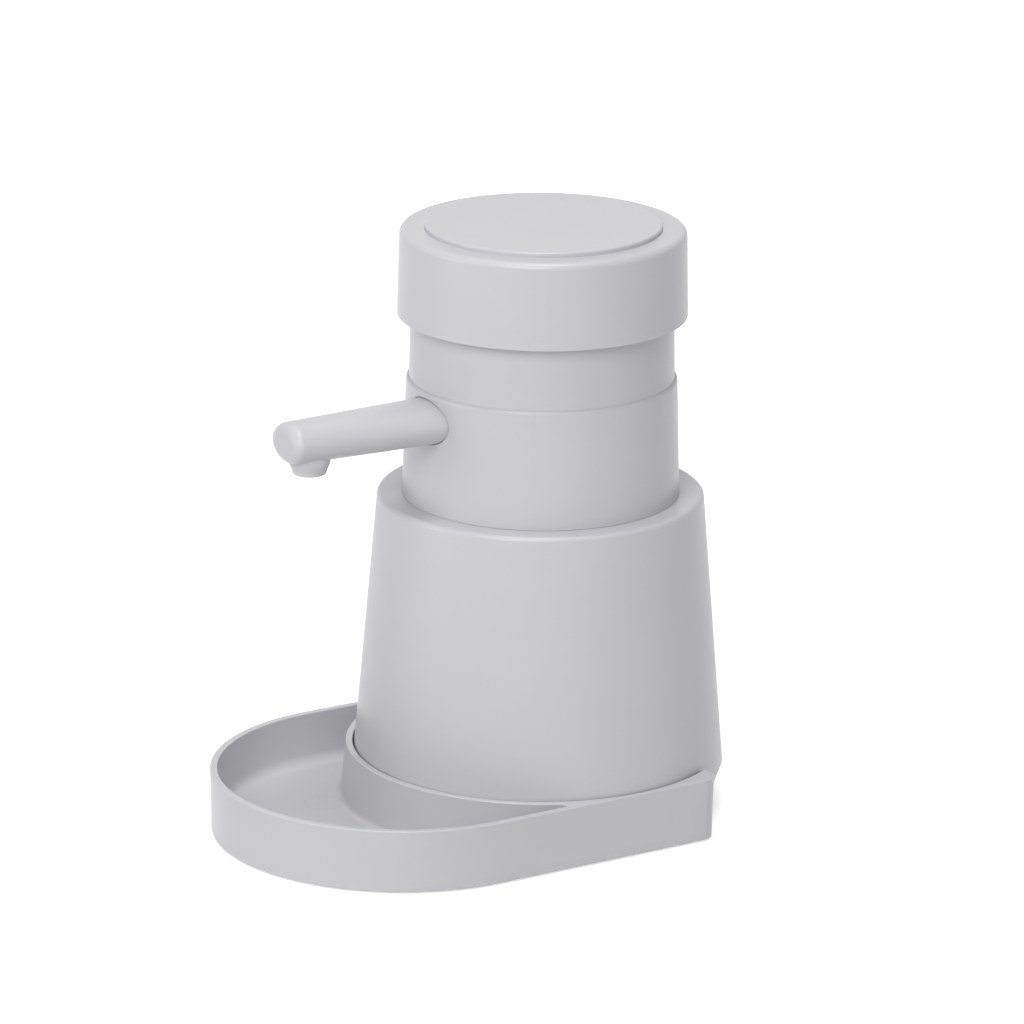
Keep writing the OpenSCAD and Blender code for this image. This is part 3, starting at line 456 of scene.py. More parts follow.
def basin_floor(s, outer, inner, lean, end_x, bottom):
    """The basin's floor with its round corners, between its inner and outer edges.

    A point lies between the two edges; its height is the floor plus the greatest of three quarter
    rounds, r - sqrt(r^2 - (r - d)^2), where d is its distance to the outer wall, to the ring round the
    pocket, whose foot stands out by lean, and to the basin's narrow end. Also gives the heights along
    the outer and the inner edge.
    """
    q = np.radians(np.linspace(0, 90, 13))
    near = 1 - np.cos(q)[:, None]
    foot = inner[:, :2] + inner[:, 2:] * lean[:, None]
    chord = outer[:, :2] - foot
    size = np.maximum(np.linalg.norm(chord, axis=1), 1e-9)
    out_reach = np.minimum(s.fillet * 1.02, size / 2) / size
    in_reach = np.minimum(s.ring_fillet * 1.02, size / 2) / size
    middle = in_reach + np.linspace(0, 1, 9)[1:-1, None] * (1 - in_reach - out_reach)
    t = np.vstack((near * in_reach, middle, 1 - (near * out_reach)[::-1]))[..., None]
    place = foot[None] * (1 - t) + outer[None, :, :2] * t
    x, y = place[..., 0], place[..., 1]
    r = s.half_width - s.wall
    wall = r - np.where(x > s.reach, np.hypot(x - s.reach, y), np.abs(y))
    ring = np.hypot(x, y) - s.ring - lean

    def rise(d, radius):
        """Height of the quarter round of that radius at distance d from its wall."""
        e = radius - np.clip(d, 0, radius)
        return radius - np.sqrt(np.maximum(radius ** 2 - e ** 2, 0))

    ring[0] = 0
    z = bottom + np.maximum(np.maximum(rise(wall, s.fillet), rise(ring, s.ring_fillet)),
        rise(x - end_x, s.fillet))
    z[-1] = bottom + s.fillet
    z[:, [0, -1]] = bottom + s.fillet
    points = np.stack((AXIS_X + x, y, z), axis=-1)
    return points.reshape(-1, 3), grid(*t.shape[:2], wrap_cols=False), z[-1], z[0]


def foot_places():
    """Centres of the four feet, the middles of their boxes, front or back and left or right."""
    node = frame["nodes"]["tray_feet"]
    co = np.empty(len(node.data.vertices) * 3, np.float32)
    node.data.vertices.foreach_get("co", co)
    co = co.reshape(-1, 3).astype(float)
    places = []
    for front in (False, True):
        for left in (False, True):
            own = co[((co[:, 0] > AXIS_X + 20 * MM) == front) & ((co[:, 1] > 0) == left)]
            places.append((own.min(axis=0) + own.max(axis=0))[:2] / 2)
    return places


class BuildTray(bpy.types.Operator):
    """Builds the tray with its basin, its pocket and the recesses for the feet"""
    bl_idname = "dispenser.build_tray"
    bl_label = "Tray"

    def execute(self, context):
        s = context.scene.dispenser_tray
        low, high = TRAY_LOW.z, TRAY_HIGH.z
        bottom = low + s.floor
        above, below, lean = tray_outlines(s)
        slope = s.draft / (high - low)

        # Below the floor's upper face: bottom edge, wall, and the round at the back of the pocket's floor
        e_in, e_up = round_rows(s.edge, 0)
        back_round = 0.25 * MM
        b_in, b_up = round_rows(back_round, bottom - back_round)
        edge_z = low + s.edge - e_up[::-1]
        straight = np.array((low + s.edge + NEAR, bottom - back_round - NEAR))
        back_z = np.concatenate((edge_z, straight, b_up))[:, None]
        outer_top = bottom + np.linspace(-back_round, NEAR, len(b_up))
        outer_z = np.concatenate((edge_z, straight, outer_top))[:, None]
        heights = back_z * (1 - lean) + outer_z * lean
        shift = np.concatenate((e_in[::-1], (0, 0), 0 * b_in))[:, None] + (
            np.concatenate((0 * e_in, (0, 0), b_in))[:, None] * (1 - lean))
        first = walls(below, shift + slope * (high - heights), heights)

        # Above it: the pocket's wall, the outer wall and the round at the top
        t_in, t_up = round_rows(s.edge, high - s.edge)
        climb = np.concatenate(([0, 0.005], np.linspace(0.08, 0.99, 8)))[:, None]
        start = bottom * (1 - lean) + (outer_z[-1] + NEAR) * lean
        heights = np.vstack((start + climb * (high - s.edge - start), t_up[:, None] + 0 * lean))
        shift = np.concatenate((0 * climb[:, 0], t_in))[:, None]
        second = walls(above, shift + lean * slope * (high - heights), heights)
        rows = np.vstack((first, second))
        shell = (rows.reshape(-1, 3), grid(len(rows), len(above)))

        # The basin: its floor, then its wall up to the round at the top
        outer, inner, end_x = basin_edges(s)
        lean_run = 8 * MM
        lean = s.ring_lean * np.clip((inner[:, 0] - end_x) / lean_run, 0, 1)
        *floor, outer_low, inner_low = basin_floor(s, outer, inner, lean, end_x, bottom)
        loop = np.vstack((outer, inner[::-1][1:-1]))
        out = np.concatenate((0 * outer_low, lean[::-1][1:-1]))
        start = np.concatenate((outer_low, inner_low[::-1][1:-1]))
        climb = np.linspace(0, 1, 7)[:, None]
        rise = start * (1 - climb) + (high - s.edge - NEAR) * climb
        shift = np.vstack((-out * (1 - climb), t_in[:, None] + 0 * out))
        rim = walls(loop, shift, np.vstack((rise, t_up[:, None] + 0 * start)))
        basin = (rim.reshape(-1, 3), grid(len(rim), len(loop)))

        # Recesses for the feet, a little wider than they are
        depth = FOOT_HIGH.z
        radius = FOOT_RADIUS + 0.1 * MM
        recess = held(chain((radius, low), (radius, depth), (0, depth)))
        holes = [turned(recess, 48, centre=place) for place in foot_places()]
        tray = joined(shell, floor, basin, *holes)
        put("tray_shell", tray, "tray", ["tray"], satin_tray(), levels=(low, high))
        return {"FINISHED"}


class BuildFeet(bpy.types.Operator):
    """Builds the four soft feet as discs with round edges"""
    bl_idname = "dispenser.build_feet"
    bl_label = "Feet"

    def execute(self, context):
        high, r, edge = FOOT_HIGH.z, FOOT_RADIUS, 0.3 * MM
        profile = held(chain((0, 0), arc(r - edge, edge, edge, -90, 0, 5), (r, high), (0, high)))
        feet = joined(*[turned(profile, 64, centre=place) for place in foot_places()])
        put("soft_feet", feet, "tray", ["tray_feet"], rubber("soft_foot", "feet"))
        return {"FINISHED"}


class BuildBottle(bpy.types.Operator):
    """Builds the bottle: base, shell and neck"""
    bl_idname = "dispenser.build_bottle"
    bl_label = "Bottle"

    def execute(self, context):
        s = context.scene.dispenser_bottle
        low, seam, high = BASE_LOW.z, s.seam, BOTTLE_HIGH.z
        slope = (s.seam_radius - s.side) / (high - s.edge - seam)
        lean = math.degrees(math.atan(slope))
        v = s.seam_bevel

        # Base, with the spigot that goes into the shell
        spigot = s.seam_radius - s.wall - slope * 4 * MM - 0.1 * MM
        inside = spigot - 1.6 * MM
        base = chain((0, low), arc(s.foot - s.foot_edge, low + s.foot_edge, s.foot_edge, -90, 14, 12),
            (s.seam_radius - v, seam - v * 1.6), (s.seam_radius - 2 * v, seam), (spigot, seam),
            (spigot, BASE_HIGH.z), (inside, BASE_HIGH.z), (inside, seam),
            (s.foot - s.foot_edge, low + s.end), (0, low + s.end))
        put("bottle_foot", turned(held(base), FINE_STEPS), "bottle", ["bottle_base"], satin("bottle_satin"))

        # Shell: wall, shoulder with its fine rim, and the inside
        ex = s.side - s.edge
        rim = ex - 0.35 * MM
        under = high - s.end
        inner_top = s.side - s.wall + slope * (s.end - s.edge)
        shell = chain((s.seam_radius - 2 * v, seam), (s.seam_radius - slope * v, seam + v),
            arc(ex, high - s.edge, s.edge, lean, 90, 10), (rim, high),
            arc(rim, high - 0.2 * MM, 0.2 * MM, 90, 115, 3), (rim - 0.3 * MM, high - s.dip),
            (s.mouth + 0.1 * MM, high - s.dip), (s.mouth, high - s.dip - 0.1 * MM), (s.mouth, under),
            (inner_top, under), (s.seam_radius - s.wall, seam))
        put("bottle_wall", turned_ring(shell), "bottle", ["bottle_shell"], satin("bottle_satin"))

        # Neck, with the groove for its seal
        out = NECK_HIGH.x - AXIS_X
        foot, top = NECK_LOW.z - s.dip, NECK_HIGH.z
        place = NECK_LOW.z + s.groove_place
        half = s.groove_height / 2
        neck = chain((s.mouth, foot), (out, foot), (out, place - half), (s.groove, place - half),
            (s.groove, place + half), (out, place + half),
            arc(out - 0.4 * MM, top - 0.4 * MM, 0.4 * MM, 0, 90, 4),
            arc(s.mouth + 0.3 * MM, top - 0.3 * MM, 0.3 * MM, 90, 180, 4))
        put("neck_ring", turned_ring(neck, 192), "bottle", ["bottle_neck"], satin("bottle_satin"))
        return {"FINISHED"}


def block_loop(radius_at, z_low, z_high, half_angle, rows, cols):
    """Corner points of a block of the turned grid, once round it, about the +X side of the axis."""
    z = np.linspace(z_low, z_high, rows + 1)
    a = np.linspace(-half_angle, half_angle, cols + 1)
    height = np.concatenate((0 * a[:-1] + z_low, z[:-1], 0 * a[:-1] + z_high, z[:0:-1]))
    angle = np.concatenate((a[:-1], 0 * z[:-1] + half_angle, a[:0:-1], 0 * z[:-1] - half_angle))
    r = radius_at(height)
    return np.column_stack((r * np.sin(angle), height)), np.sin(angle) / math.sin(half_angle)


def patch(radius_at, rim, loop, rings):
    """Rings of points on a cone from the edge of a block to a hole in it.

    A point moves straight from the block's edge to the hole's edge in y and z, and
    x = sqrt(r(z)^2 - y^2) keeps it on the cone.
    """
    t = rings[:, None, None]
    place = rim[None] * (1 - t) + loop[None] * t
    y, z = place[..., 0], place[..., 1]
    x = np.sqrt(np.maximum(radius_at(z) ** 2 - y ** 2, 0))
    return np.stack((AXIS_X + x, y, z), axis=-1)


class BuildCollar(bpy.types.Operator):
    """Builds the collar with its guide neck and the hole for the spout"""
    bl_idname = "dispenser.build_collar"
    bl_label = "Collar"

    def execute(self, context):
        s = context.scene.dispenser_collar
        p = context.scene.dispenser_spout
        low, top = COLLAR_LOW.z - s.drop, COLLAR_HIGH.z
        rim_low = s.rim_height - s.rim_rise
        rim_round = arc(0, 0, 1, 0, 90, 10) * (s.rim_edge, s.rim_rise) + (s.rim - s.rim_edge, rim_low)
        row_height = 8 * MM

        # Lowest and highest rows of the two blocks that the spout's hole goes through, outside and inside
        z_low, z_high = p.height - 7.2 * MM, rim_low - 0.06 * MM
        w_low, w_high = p.height - 6.9 * MM, s.rim_height - 0.12 * MM
        rows, cols, steps = 14, 24, 192
        half = cols * math.pi / steps

        def outside(z):
            """Radius of the collar's tapered wall at height z."""
            t = (z - low - s.flare_height) / (rim_low - low - s.flare_height)
            return s.foot + (s.rim - s.foot) * t

        def inside(z):
            """Radius of the bore behind the hole, the same at every height."""
            return s.clamp + 0 * z

        zs = np.linspace(z_low, z_high, rows + 1)
        outer_rows = np.column_stack((outside(zs), zs))
        ws = np.linspace(w_high, w_low, rows + 1)
        inner_rows = np.column_stack((inside(ws), ws))
        e = 0.05 * MM
        profile = chain(
            (s.deck, low), (s.foot + s.flare - e, low), (s.foot + s.flare, low + e),
            (s.foot + s.flare * 0.45, low + 0.8 * MM), (s.foot + s.flare * 0.12, low + 1.5 * MM),
            (s.foot, low + s.flare_height), (outside(low + row_height), low + row_height),
            outer_rows, rim_round, (s.neck + 0.05 * MM, s.rim_height),
            (s.neck + 0.015 * MM, s.rim_height + 0.015 * MM), (s.neck, s.rim_height + 0.05 * MM),
            arc(s.neck_top - 0.4 * MM, top - 0.4 * MM, 0.4 * MM, 0, 90, 5),
            (s.bore, top), (s.bore, s.ledge_high), (s.ledge, s.ledge_high), (s.ledge, s.ledge_low),
            (s.bore, s.ledge_low), (s.bore, s.rim_height), (s.clamp, s.rim_height), inner_rows,
            (s.clamp, s.deck_top), (s.deck, s.deck_top))
        points, quads = turned_ring(profile, steps)

        # The blocks of quads round the hole come out, and rings take their place
        mid = points[quads].mean(axis=1)
        reach = np.hypot(mid[:, 0] - AXIS_X, mid[:, 1])
        side = np.abs(np.arctan2(mid[:, 1], mid[:, 0] - AXIS_X)) < half
        split = (s.rim + s.clamp) / 2
        outer_block = side & (mid[:, 2] > z_low) & (mid[:, 2] < z_high) & (reach > split)
        inner_block = side & (mid[:, 2] > w_low) & (mid[:, 2] < w_high) & (reach < split)
        quads = quads[~(outer_block | inner_block)]

        edge = 0.05 * MM
        rim, across = block_loop(outside, z_low, z_high, half, rows, cols)
        up = (rim[:, 1] - (z_low + z_high) / 2) / ((z_high - z_low) / 2)
        turn = np.arctan2(up, across)
        circle = np.column_stack((np.cos(turn), np.sin(turn)))
        centre = np.array((0, p.height))
        oval = np.array((p.root_side, p.root))
        front = patch(outside, rim, centre + (oval + p.gap + edge) * circle,
            np.array((0, 0.25, 0.5, 0.75, 0.92, 0.99, 1)))
        spots = centre + (oval + p.gap) * circle
        lip_x = np.sqrt(outside(spots[:, 1]) ** 2 - spots[:, 0] ** 2) - edge
        lip = np.column_stack((AXIS_X + lip_x, spots))
        face = np.column_stack((0 * lip_x + AXIS_X + p.boss_face, spots))
        spots = centre + (oval + p.boss_over) * circle
        step = np.column_stack((0 * lip_x + AXIS_X + p.boss_face, spots))
        back_rim, _ = block_loop(inside, w_low, w_high, half, rows, cols)
        back = patch(inside, back_rim, spots, np.array((1, 0.9, 0.6, 0.3, 0)))
        rings = np.vstack((front, lip[None], face[None], step[None], back))
        hole = (rings.reshape(-1, 3), grid(len(rings), len(rim)))
        put("collar_body", joined((points, quads), hole), "pump", ["collar_shell"], satin("head_satin"))
        return {"FINISHED"}


class BuildSpout(bpy.types.Operator):
    """Builds the spout and the nozzle under its tip"""
    bl_idname = "dispenser.build_spout"
    bl_label = "Spout"

    def execute(self, context):
        s = context.scene.dispenser_spout
        tip = SPOUT_HIGH.x - AXIS_X + s.reach
        root = SPOUT_LOW.x - AXIS_X
        bend = tip - s.tip_edge
        a = np.radians(np.linspace(90, 0, 17))
        inward = s.tip_edge * (1 - np.cos(a))
        end = np.column_stack((bend + s.tip_edge * np.sin(a), s.tip_side - inward, s.tip - inward))
        behind, over = s.boss_face - s.flange, s.boss_over
        socket_end = s.boss_face + 1.6 * MM
        profile = chain((tip, 0, 0), end, (s.straight, s.root_side, s.root),
            (s.boss_face, s.root_side, s.root), (s.boss_face, s.root_side + over, s.root + over),
            (behind, s.root_side + over, s.root + over),
            (behind, s.step, s.step), (root, s.step, s.step), (root, s.socket, s.socket),
            (socket_end, s.socket, s.socket), (socket_end, s.bore, s.bore), (tip - s.end, s.bore, s.bore),
            (tip - s.end, 0, 0))
        put("spout_body", ovals(held(profile), s.height), "pump", ["spout_tube"], satin("head_satin"))

        # Nozzle: turned, with its upper edge on the oval underside of the spout
        steps = 128
        nx = (NOZZLE_LOW.x + NOZZLE_HIGH.x) / 2
        low = NOZZLE_LOW.z
        r, top, e = s.nozzle, s.nozzle_top, s.nozzle_edge
        lower = held(chain((s.nozzle_bore, low + 3.4 * MM), (s.nozzle_bore, low + 0.2 * MM),
            (s.nozzle_bore + 0.2 * MM, low), arc(r - e, low + e, e, -90, 8, 6),
            (top - 0.25 * MM, low + s.nozzle_flare * 0.72), (top, low + s.nozzle_flare)))
        a = np.linspace(0, 2 * np.pi, steps, endpoint=False)
        saddle_r = np.array((top, top - 0.6 * MM, s.nozzle_bore))[:, None]
        t = (nx - AXIS_X + saddle_r * np.cos(a) - s.straight) / (bend - s.straight)
        t = np.minimum(t, 1)
        side, half = s.root_side + (s.tip_side - s.root_side) * t, s.root + (s.tip - s.root) * t
        seat = s.height - half * np.sqrt(1 - (saddle_r * np.sin(a) / side) ** 2)
        seat[1:] += 0.6 * MM
        heights = np.vstack((lower[:, 1:] + 0 * a, seat + np.array((0.02, 0, 0))[:, None] * MM))
        radii = np.vstack((lower[:, :1] + 0 * a, saddle_r + 0 * a))
        points = np.stack((nx + radii * np.cos(a), radii * np.sin(a), heights), axis=-1)
        nozzle = (points.reshape(-1, 3), grid(len(points), steps, wrap_rows=True))
        put("nozzle_body", nozzle, "pump", ["nozzle_tip"], satin("head_satin"))
        return {"FINISHED"}


class BuildHead(bpy.types.Operator):
    """Builds the press head and the pad on top of it"""
    bl_idname = "dispenser.build_head"
    bl_label = "Press head"

    def execute(self, context):
        s = context.scene.dispenser_head
        low, top = CAP_LOW.z, CAP_HIGH.z
        foot = CAP_HIGH.x - AXIS_X
        side = top - s.edge
        lean = math.degrees(math.atan((foot - s.top) / (side - low)))
        seat_r = PAD_HIGH.x - AXIS_X + 0.02 * MM
        e = s.lower_edge
        in_foot, in_top = foot - s.wall, s.top - s.wall
        boss_low = s.under - s.boss_length
        profile = chain(
            (in_foot, low + 0.25 * MM), (in_foot + 0.25 * MM, low), arc(foot - e, low + e, e, -90, 0, 5),
            arc(s.top - s.edge, side, s.edge, lean, 90, 14),
            (seat_r, top), (seat_r, s.seat), (s.screw_head, s.seat),
            (s.screw_head, s.screw_seat), (s.screw, s.screw_seat), (s.screw, boss_low + s.socket_depth),
            (s.socket, boss_low + s.socket_depth), (s.socket, boss_low),
            arc(s.boss - 0.4 * MM, boss_low + 0.4 * MM, 0.4 * MM, -90, 0, 4), (s.boss, s.under - 0.5 * MM),
            (s.boss + 0.5 * MM, s.under), arc(in_top - 1 * MM, s.under - 1 * MM, 1 * MM, 90, 0, 5))
        put("press_shell", turned_ring(profile), "head", ["press_cap"], satin("head_satin"))

        r = PAD_HIGH.x - AXIS_X
        high = PAD_HIGH.z
        pad = held(chain((0, s.seat), (r - 0.2 * MM, s.seat), (r, s.seat + 0.2 * MM),
            arc(r - s.pad_edge, high - s.pad_edge, s.pad_edge, 0, 90, 10), (0, high)))
        pin = held(chain((0, PAD_LOW.z), (s.pin - 0.2 * MM, PAD_LOW.z), (s.pin, PAD_LOW.z + 0.2 * MM),
            (s.pin, s.seat + 0.5 * MM), (0, s.seat + 0.5 * MM)))
        places = [(AXIS_X + s.pin_ring * math.cos(a), s.pin_ring * math.sin(a))
            for a in np.radians((45, 135, 225, 315))]
        pins = [turned(pin, 32, centre=place) for place in places]
        put("palm_pad", joined(turned(pad, FINE_STEPS), *pins), "head", ["press_pad"], satin("head_satin"))
        return {"FINISHED"}


class BuildSpring(bpy.types.Operator):
    """Winds the return spring with closed ends"""
    bl_idname = "dispenser.build_spring"
    bl_label = "Return spring"

    def execute(self, context):
        """A circle swept along a helix whose rise a turn grows from one wire to the open pitch and back."""
        s = context.scene.dispenser_spring
        low, high = SPRING_LOW.z, SPRING_HIGH.z
        turns = s.turns + 2
        n = turns * 40
        t = np.linspace(0, turns, n + 1)
        ease = np.clip(np.minimum(t, turns - t) - 0.5, 0, 1)
        rate = 3 * ease ** 2 - 2 * ease ** 3
        rise = np.concatenate(([0], np.cumsum((rate[1:] + rate[:-1]) / 2)))
        closed = 2 * s.wire * 1.04 * t
        span = high - low - 2 * s.wire
        z = low + s.wire + closed + rise / rise[-1] * (span - closed[-1])
        a = 2 * np.pi * t
        centre = np.column_stack((s.mean * np.cos(a), s.mean * np.sin(a), z))
        along = np.gradient(centre, axis=0)
        along /= np.linalg.norm(along, axis=1, keepdims=True)
        out = np.column_stack((np.cos(a), np.sin(a), 0 * a))
        up = np.cross(along, out)
        b = np.linspace(0, 2 * np.pi, 14, endpoint=False)
        ring = out[:, None] * np.cos(b)[:, None] + up[:, None] * np.sin(b)[:, None]
        wire = centre[:, None] + s.wire * ring
        ends = np.repeat(centre[[0, -1], None], len(b), axis=1)
        points = np.concatenate((ends[:1], wire, ends[1:]))
        points[..., 0] += AXIS_X
        points[..., 2] = np.clip(points[..., 2], low, high)
        spring = (points.reshape(-1, 3), grid(len(points), len(b)))
        piece = put("wound_spring", spring, "pump", ["return_spring"], metal("spring_steel"))
        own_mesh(piece)
        return {"FINISHED"}


def feed(node, values):
    """Gives a node its inputs, each by name or number: a plain value, or the socket it is linked to."""
    for key, value in values.items():
        if isinstance(value, bpy.types.NodeSocket):
            node.id_data.links.new(value, node.inputs[key])
        else:
            node.inputs[key].default_value = value
    return node


def add(tree, kind, values=None, **settings):
    """A new shader node with its settings and its inputs."""
    node = tree.nodes.new("ShaderNode" + kind)
    for key, value in settings.items():
        setattr(node, key, value)
    return feed(node, values or {})


def math_node(tree, operation, first, second):
    """The result of a Math node."""
    return add(tree, "Math", {0: first, 1: second}, operation=operation).outputs[0]


def noise(tree, vector, scale, detail=2.0, rough=0.5):
    """A noise texture from 0 to 1."""
    values = {"Vector": vector, "Scale": scale, "Detail": detail, "Roughness": rough}
    return add(tree, "TexNoise", values).outputs["Fac"]


def mixed(tree, mask, first, second):
    """A colour that goes from first to second with the mask."""
    values = {"Factor": mask, "A": first, "B": second}
    return add(tree, "Mix", values, data_type="RGBA").outputs["Result"]


def mapped(tree, value, start, stop, low, high, **settings):
    """Maps a value between start and stop onto low to high."""
    values = {"Value": value, "From Min": start, "From Max": stop, "To Min": low, "To Max": high}
    return add(tree, "MapRange", values, **settings).outputs["Result"]


def object_place(tree):
    """The place on the object, in metres."""
    return add(tree, "TexCoord").outputs["Object"]


def moulded_grain():
    """The grain of a moulded surface, shared by all the plastics and rubbers.

    Tone is a slow cloudy mask, Sheen a finer one for the roughness, and Relief the spark-eroded
    grain of the mould.
    """
    name = "moulded_grain"
    if name in bpy.data.node_groups:
        return bpy.data.node_groups[name]
    group = bpy.data.node_groups.new(name, "ShaderNodeTree")
    for label, value in (("Cloud Scale", 55.0), ("Grain Scale", 2600.0)):
        socket = group.interface.new_socket(label, in_out="INPUT", socket_type="NodeSocketFloat")
        socket.default_value = value
    for label in ("Tone", "Sheen", "Relief"):
        group.interface.new_socket(label, in_out="OUTPUT", socket_type="NodeSocketFloat")
    ins = group.nodes.new("NodeGroupInput")
    outs = group.nodes.new("NodeGroupOutput")
    place = object_place(group)
    cloud = noise(group, place, ins.outputs["Cloud Scale"], 3.0)
    fine = noise(group, place, ins.outputs["Grain Scale"], 2.0, 0.6)
    patchy = noise(group, place, 420.0, 3.0)

    def blend(first, share_of_first, second):
        """The weighted mean of two masks."""
        return math_node(group, "ADD", math_node(group, "MULTIPLY", first, share_of_first),
            math_node(group, "MULTIPLY", second, 1 - share_of_first))

    feed(outs, {"Tone": blend(cloud, 0.7, patchy), "Sheen": blend(patchy, 0.6, fine), "Relief": fine})
    return group


def grained(name, base, rough, spread=0.02, rough_spread=0.04, depth=0.004, clouds=55.0, grain=2600.0):
    """A Principled material with the moulded grain on its colour, roughness and normal.

    The colour runs from a little darker than base to a little lighter, and the roughness likewise.
    """
    if name in bpy.data.materials:
        return bpy.data.materials[name]
    material = bpy.data.materials.new(name)
    material.use_nodes = True
    tree = material.node_tree
    masks = add(tree, "Group", node_tree=moulded_grain())
    tone, sheen, relief = feed(masks, {"Cloud Scale": clouds, "Grain Scale": grain}).outputs
    dark, pale = [(*[min(c * (1 + part), 1) for c in base], 1) for part in (-spread, spread)]
    bump = add(tree, "Bump", {"Strength": 0.5, "Distance": depth * MM, "Height": relief})
    feed(tree.nodes["Principled BSDF"], {
        "Base Color": mixed(tree, tone, dark, pale),
        "Roughness": mapped(tree, sheen, *GRAIN_RANGE, rough - rough_spread, rough + rough_spread),
        "Normal": bump.outputs["Normal"]})
    return material


def satin(name):
    """The satin plastic of the outer shells."""
    f = bpy.context.scene.dispenser_finishes
    return grained(name, f.shell, f.shell_rough)


def satin_tray():
    """The shells' plastic with the faint dented ring that the mould's gate leaves on the basin's floor, and
    painted shade that darkens the colour along the dent.
    """
    material = satin("tray_satin")
    tree = material.node_tree
    shader = tree.nodes["Principled BSDF"]
    base, normal = [shader.inputs[label].links[0].from_socket for label in ("Base Color", "Normal")]
    apart = add(tree, "VectorMath", {0: object_place(tree), 1: GATE_PLACE}, operation="DISTANCE")
    off_ring = math_node(tree, "SUBTRACT", apart.outputs["Value"], GATE_RADIUS)
    # The ring's mask both dents the normals and paints shade into the colour along the dent
    dent_and_painted_shade = mapped(tree, math_node(tree, "ABSOLUTE", off_ring, 0), 0, 0.28 * MM, 1, 0,
        interpolation_type="SMOOTHSTEP")
    # Painted shade: the colour along the gate's dented ring is darkened to stand in for the shade in the
    # dent
    dark = (*[c * 0.86 for c in bpy.context.scene.dispenser_finishes.shell], 1)
    dent = add(tree, "Bump", {"Strength": 0.6, "Distance": 0.08 * MM, "Height": dent_and_painted_shade, "Normal": normal},
        invert=True)
    feed(shader, {"Base Color": mixed(tree, math_node(tree, "MULTIPLY", dent_and_painted_shade, 0.5), base, dark),
        "Normal": dent.outputs["Normal"]})
    return material


def inner_plastic():
    """The plain white plastic of the pump's own parts."""
    f = bpy.context.scene.dispenser_finishes
    return grained("pump_plastic", f.inner, f.inner_rough, spread=0.015, depth=0.002, clouds=90.0)


def rubber(name, field):
    """A matt rubber; field names its colour."""
    f = bpy.context.scene.dispenser_finishes
    return grained(name, getattr(f, field), 0.66, spread=0.08, rough_spread=0.08, depth=0.01,
        clouds=300.0, grain=3800.0)


def metal(name):
    """Drawn steel."""
    f = bpy.context.scene.dispenser_finishes
    material = grained(name, f.steel, 0.27, spread=0.05, rough_spread=0.06, depth=0.002,
        clouds=260.0, grain=5200.0)
    material.node_tree.nodes["Principled BSDF"].inputs["Metallic"].default_value = 1
    return material


class FinishInnerParts(bpy.types.Operator):
    """Gives the pump's own parts, which stay as they are, their plastics, rubbers and steel"""
    bl_idname = "dispenser.finish_inner_parts"
    bl_label = "Inner parts"

    def execute(self, context):
        made = {
            "inner_plastic": inner_plastic(),
            "seal_rubber": rubber("seal_rubber", "seal"),
            "foot_rubber": rubber("soft_foot", "feet"),
            "steel": metal("spring_steel"),
            "shell_plastic": satin("head_satin"),
        }
        for part in frame["record"]["subparts"]:
            node = frame["nodes"][part["node"]]
            node.data.materials.clear()
            node.data.materials.append(made[part["material_slot"]])
        return {"FINISHED"}


def lamp(name, place, size, power):
    """A soft lamp that looks at the middle of the object; its size is in metres and its power in watts."""
    data = bpy.data.lights.new(name, "AREA")
    data.shape = "RECTANGLE"
    data.size, data.size_y = size
    data.energy = power
    made = bpy.data.objects.new(name, data)
    made.location = place
    made.rotation_euler = (Vector(LAMP_AIM) - Vector(place)).to_track_quat("-Z", "Y").to_euler()
    bpy.context.scene.collection.objects.link(made)
    return made


def seen_directly(tree):
    """1 for camera, glossy and transmission rays, else 0."""
    path = add(tree, "LightPath")
    some = math_node(tree, "MAXIMUM", path.outputs["Is Camera Ray"], path.outputs["Is Glossy Ray"])
    return math_node(tree, "MAXIMUM", some, path.outputs["Is Transmission Ray"])


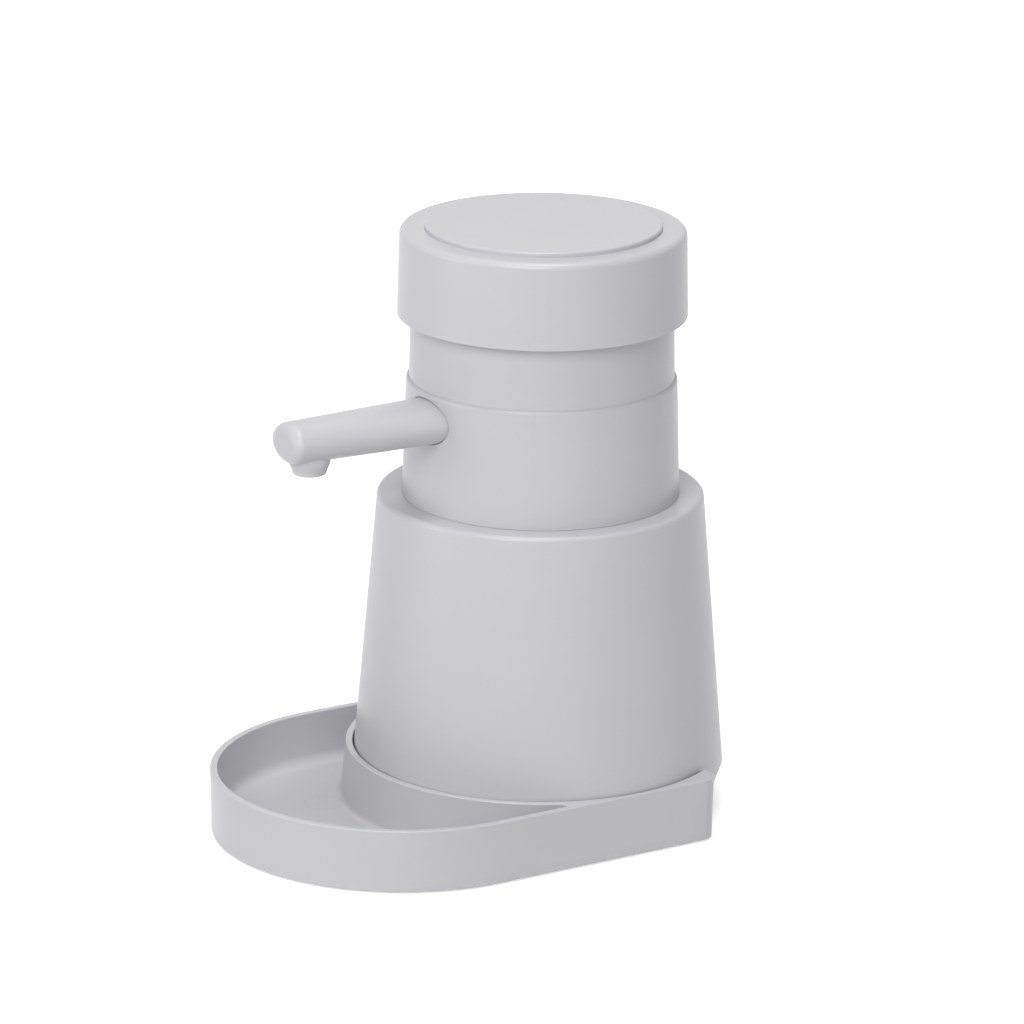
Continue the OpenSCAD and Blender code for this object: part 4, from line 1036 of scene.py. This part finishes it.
class BuildStage(bpy.types.Operator):
    """Builds the floor, the lamps, the even light and the camera"""
    bl_idname = "dispenser.build_stage"
    bl_label = "Stage"

    def execute(self, context):
        s = context.scene.dispenser_stage

        # Floor: pale, keeps the object's shadow, and looks white to the camera away from the object
        mesh = bpy.data.meshes.new("floor")
        corners = [(x * FLOOR_HALF, y * FLOOR_HALF, 0) for x, y in ((-1, -1), (1, -1), (1, 1), (-1, 1))]
        mesh.from_pydata(corners, [], [(0, 1, 2, 3)])
        floor = bpy.data.objects.new("floor", mesh)
        context.scene.collection.objects.link(floor)
        material = bpy.data.materials.new("pale_floor")
        material.use_nodes = True
        tree = material.node_tree
        apart = add(tree, "VectorMath", {0: object_place(tree)}, operation="LENGTH")
        glow = mapped(tree, apart.outputs["Value"], 0.15, 0.6, s.floor_glow, 1)
        feed(tree.nodes["Principled BSDF"], {
            "Base Color": (0.8, 0.8, 0.8, 1), "Roughness": 0.9, "Specular IOR Level": 0.0,
            "Emission Color": (1, 1, 1, 1),
            "Emission Strength": math_node(tree, "MULTIPLY", seen_directly(tree), glow)})
        mesh.materials.append(material)

        # Even light from all round, white where it is looked at
        world = bpy.data.worlds.new("studio")
        context.scene.world = world
        world.use_nodes = True
        tree = world.node_tree
        feed(tree.nodes["Background"], {"Color": (1, 1, 1, 1),
            "Strength": mapped(tree, seen_directly(tree), 0, 1, s.sky, 1)})

        # Lamps, placed about the camera's own direction
        lamp("key", (0.7605, 0.7245, 0.8156), (0.7, 0.7), s.key)
        lamp("left", (1.2155, -0.3808, 0.2059), (0.5, 0.9), s.left)
        lamp("right", (0.1405, 1.2829, 0.2059), (0.5, 0.9), s.right)
        lamp("top", (0.0523, 0.1151, 1.3629), (0.5, 0.5), s.top)
        lamp("back", (-0.3657, -0.5505, 1.1958), (0.7, 0.7), s.back)

        camera = bpy.data.cameras.new("camera")
        camera.lens = CAMERA_LENS
        camera.sensor_width = 36
        camera.sensor_fit = "HORIZONTAL"
        camera.clip_start = 0.05
        camera.clip_end = 30
        made = bpy.data.objects.new("camera", camera)
        look = Vector(CAMERA_LOOK).to_track_quat("-Z", "Y").to_matrix().to_4x4()
        roll = Matrix.Rotation(CAMERA_ROLL, 4, "Z")
        made.matrix_world = Matrix.Translation(CAMERA_PLACE) @ look @ roll
        context.scene.collection.objects.link(made)
        context.scene.camera = made
        context.scene.view_settings.view_transform = "Standard"
        return {"FINISHED"}


class DispenserPanel(bpy.types.Panel):
    """Lists the pieces"""
    bl_idname = "VIEW3D_PT_dispenser"
    bl_label = "Dispenser"
    bl_space_type = "VIEW_3D"
    bl_region_type = "UI"
    bl_category = "Dispenser"

    def draw(self, context):
        for operator in OPERATORS:
            self.layout.operator(operator.bl_idname)
        for name in SETTINGS:
            group = getattr(context.scene, name)
            box = self.layout.box()
            box.label(text=name.split("_")[1].capitalize())
            for field in group.bl_rna.properties.keys()[2:]:
                box.prop(group, field)


OPERATORS = (BuildTray, BuildFeet, BuildBottle, BuildCollar, BuildSpout, BuildHead, BuildSpring,
    FinishInnerParts, BuildStage)
SETTINGS = {
    "dispenser_tray": TraySizes,
    "dispenser_bottle": BottleSizes,
    "dispenser_collar": CollarSizes,
    "dispenser_spout": SpoutSizes,
    "dispenser_head": HeadSizes,
    "dispenser_spring": SpringSizes,
    "dispenser_finishes": Finishes,
    "dispenser_stage": StageSettings,
}


def register():
    for name, group in SETTINGS.items():
        bpy.utils.register_class(group)
        setattr(bpy.types.Scene, name, bpy.props.PointerProperty(type=group))
    for operator in OPERATORS:
        bpy.utils.register_class(operator)
    bpy.utils.register_class(DispenserPanel)


def unregister():
    bpy.utils.unregister_class(DispenserPanel)
    for operator in reversed(OPERATORS):
        bpy.utils.unregister_class(operator)
    for name, group in reversed(SETTINGS.items()):
        delattr(bpy.types.Scene, name)
        bpy.utils.unregister_class(group)


def main():
    register()
    for operator in OPERATORS:
        group, name = operator.bl_idname.split(".")
        getattr(getattr(bpy.ops, group), name)()


if __name__ == "__main__":
    main()
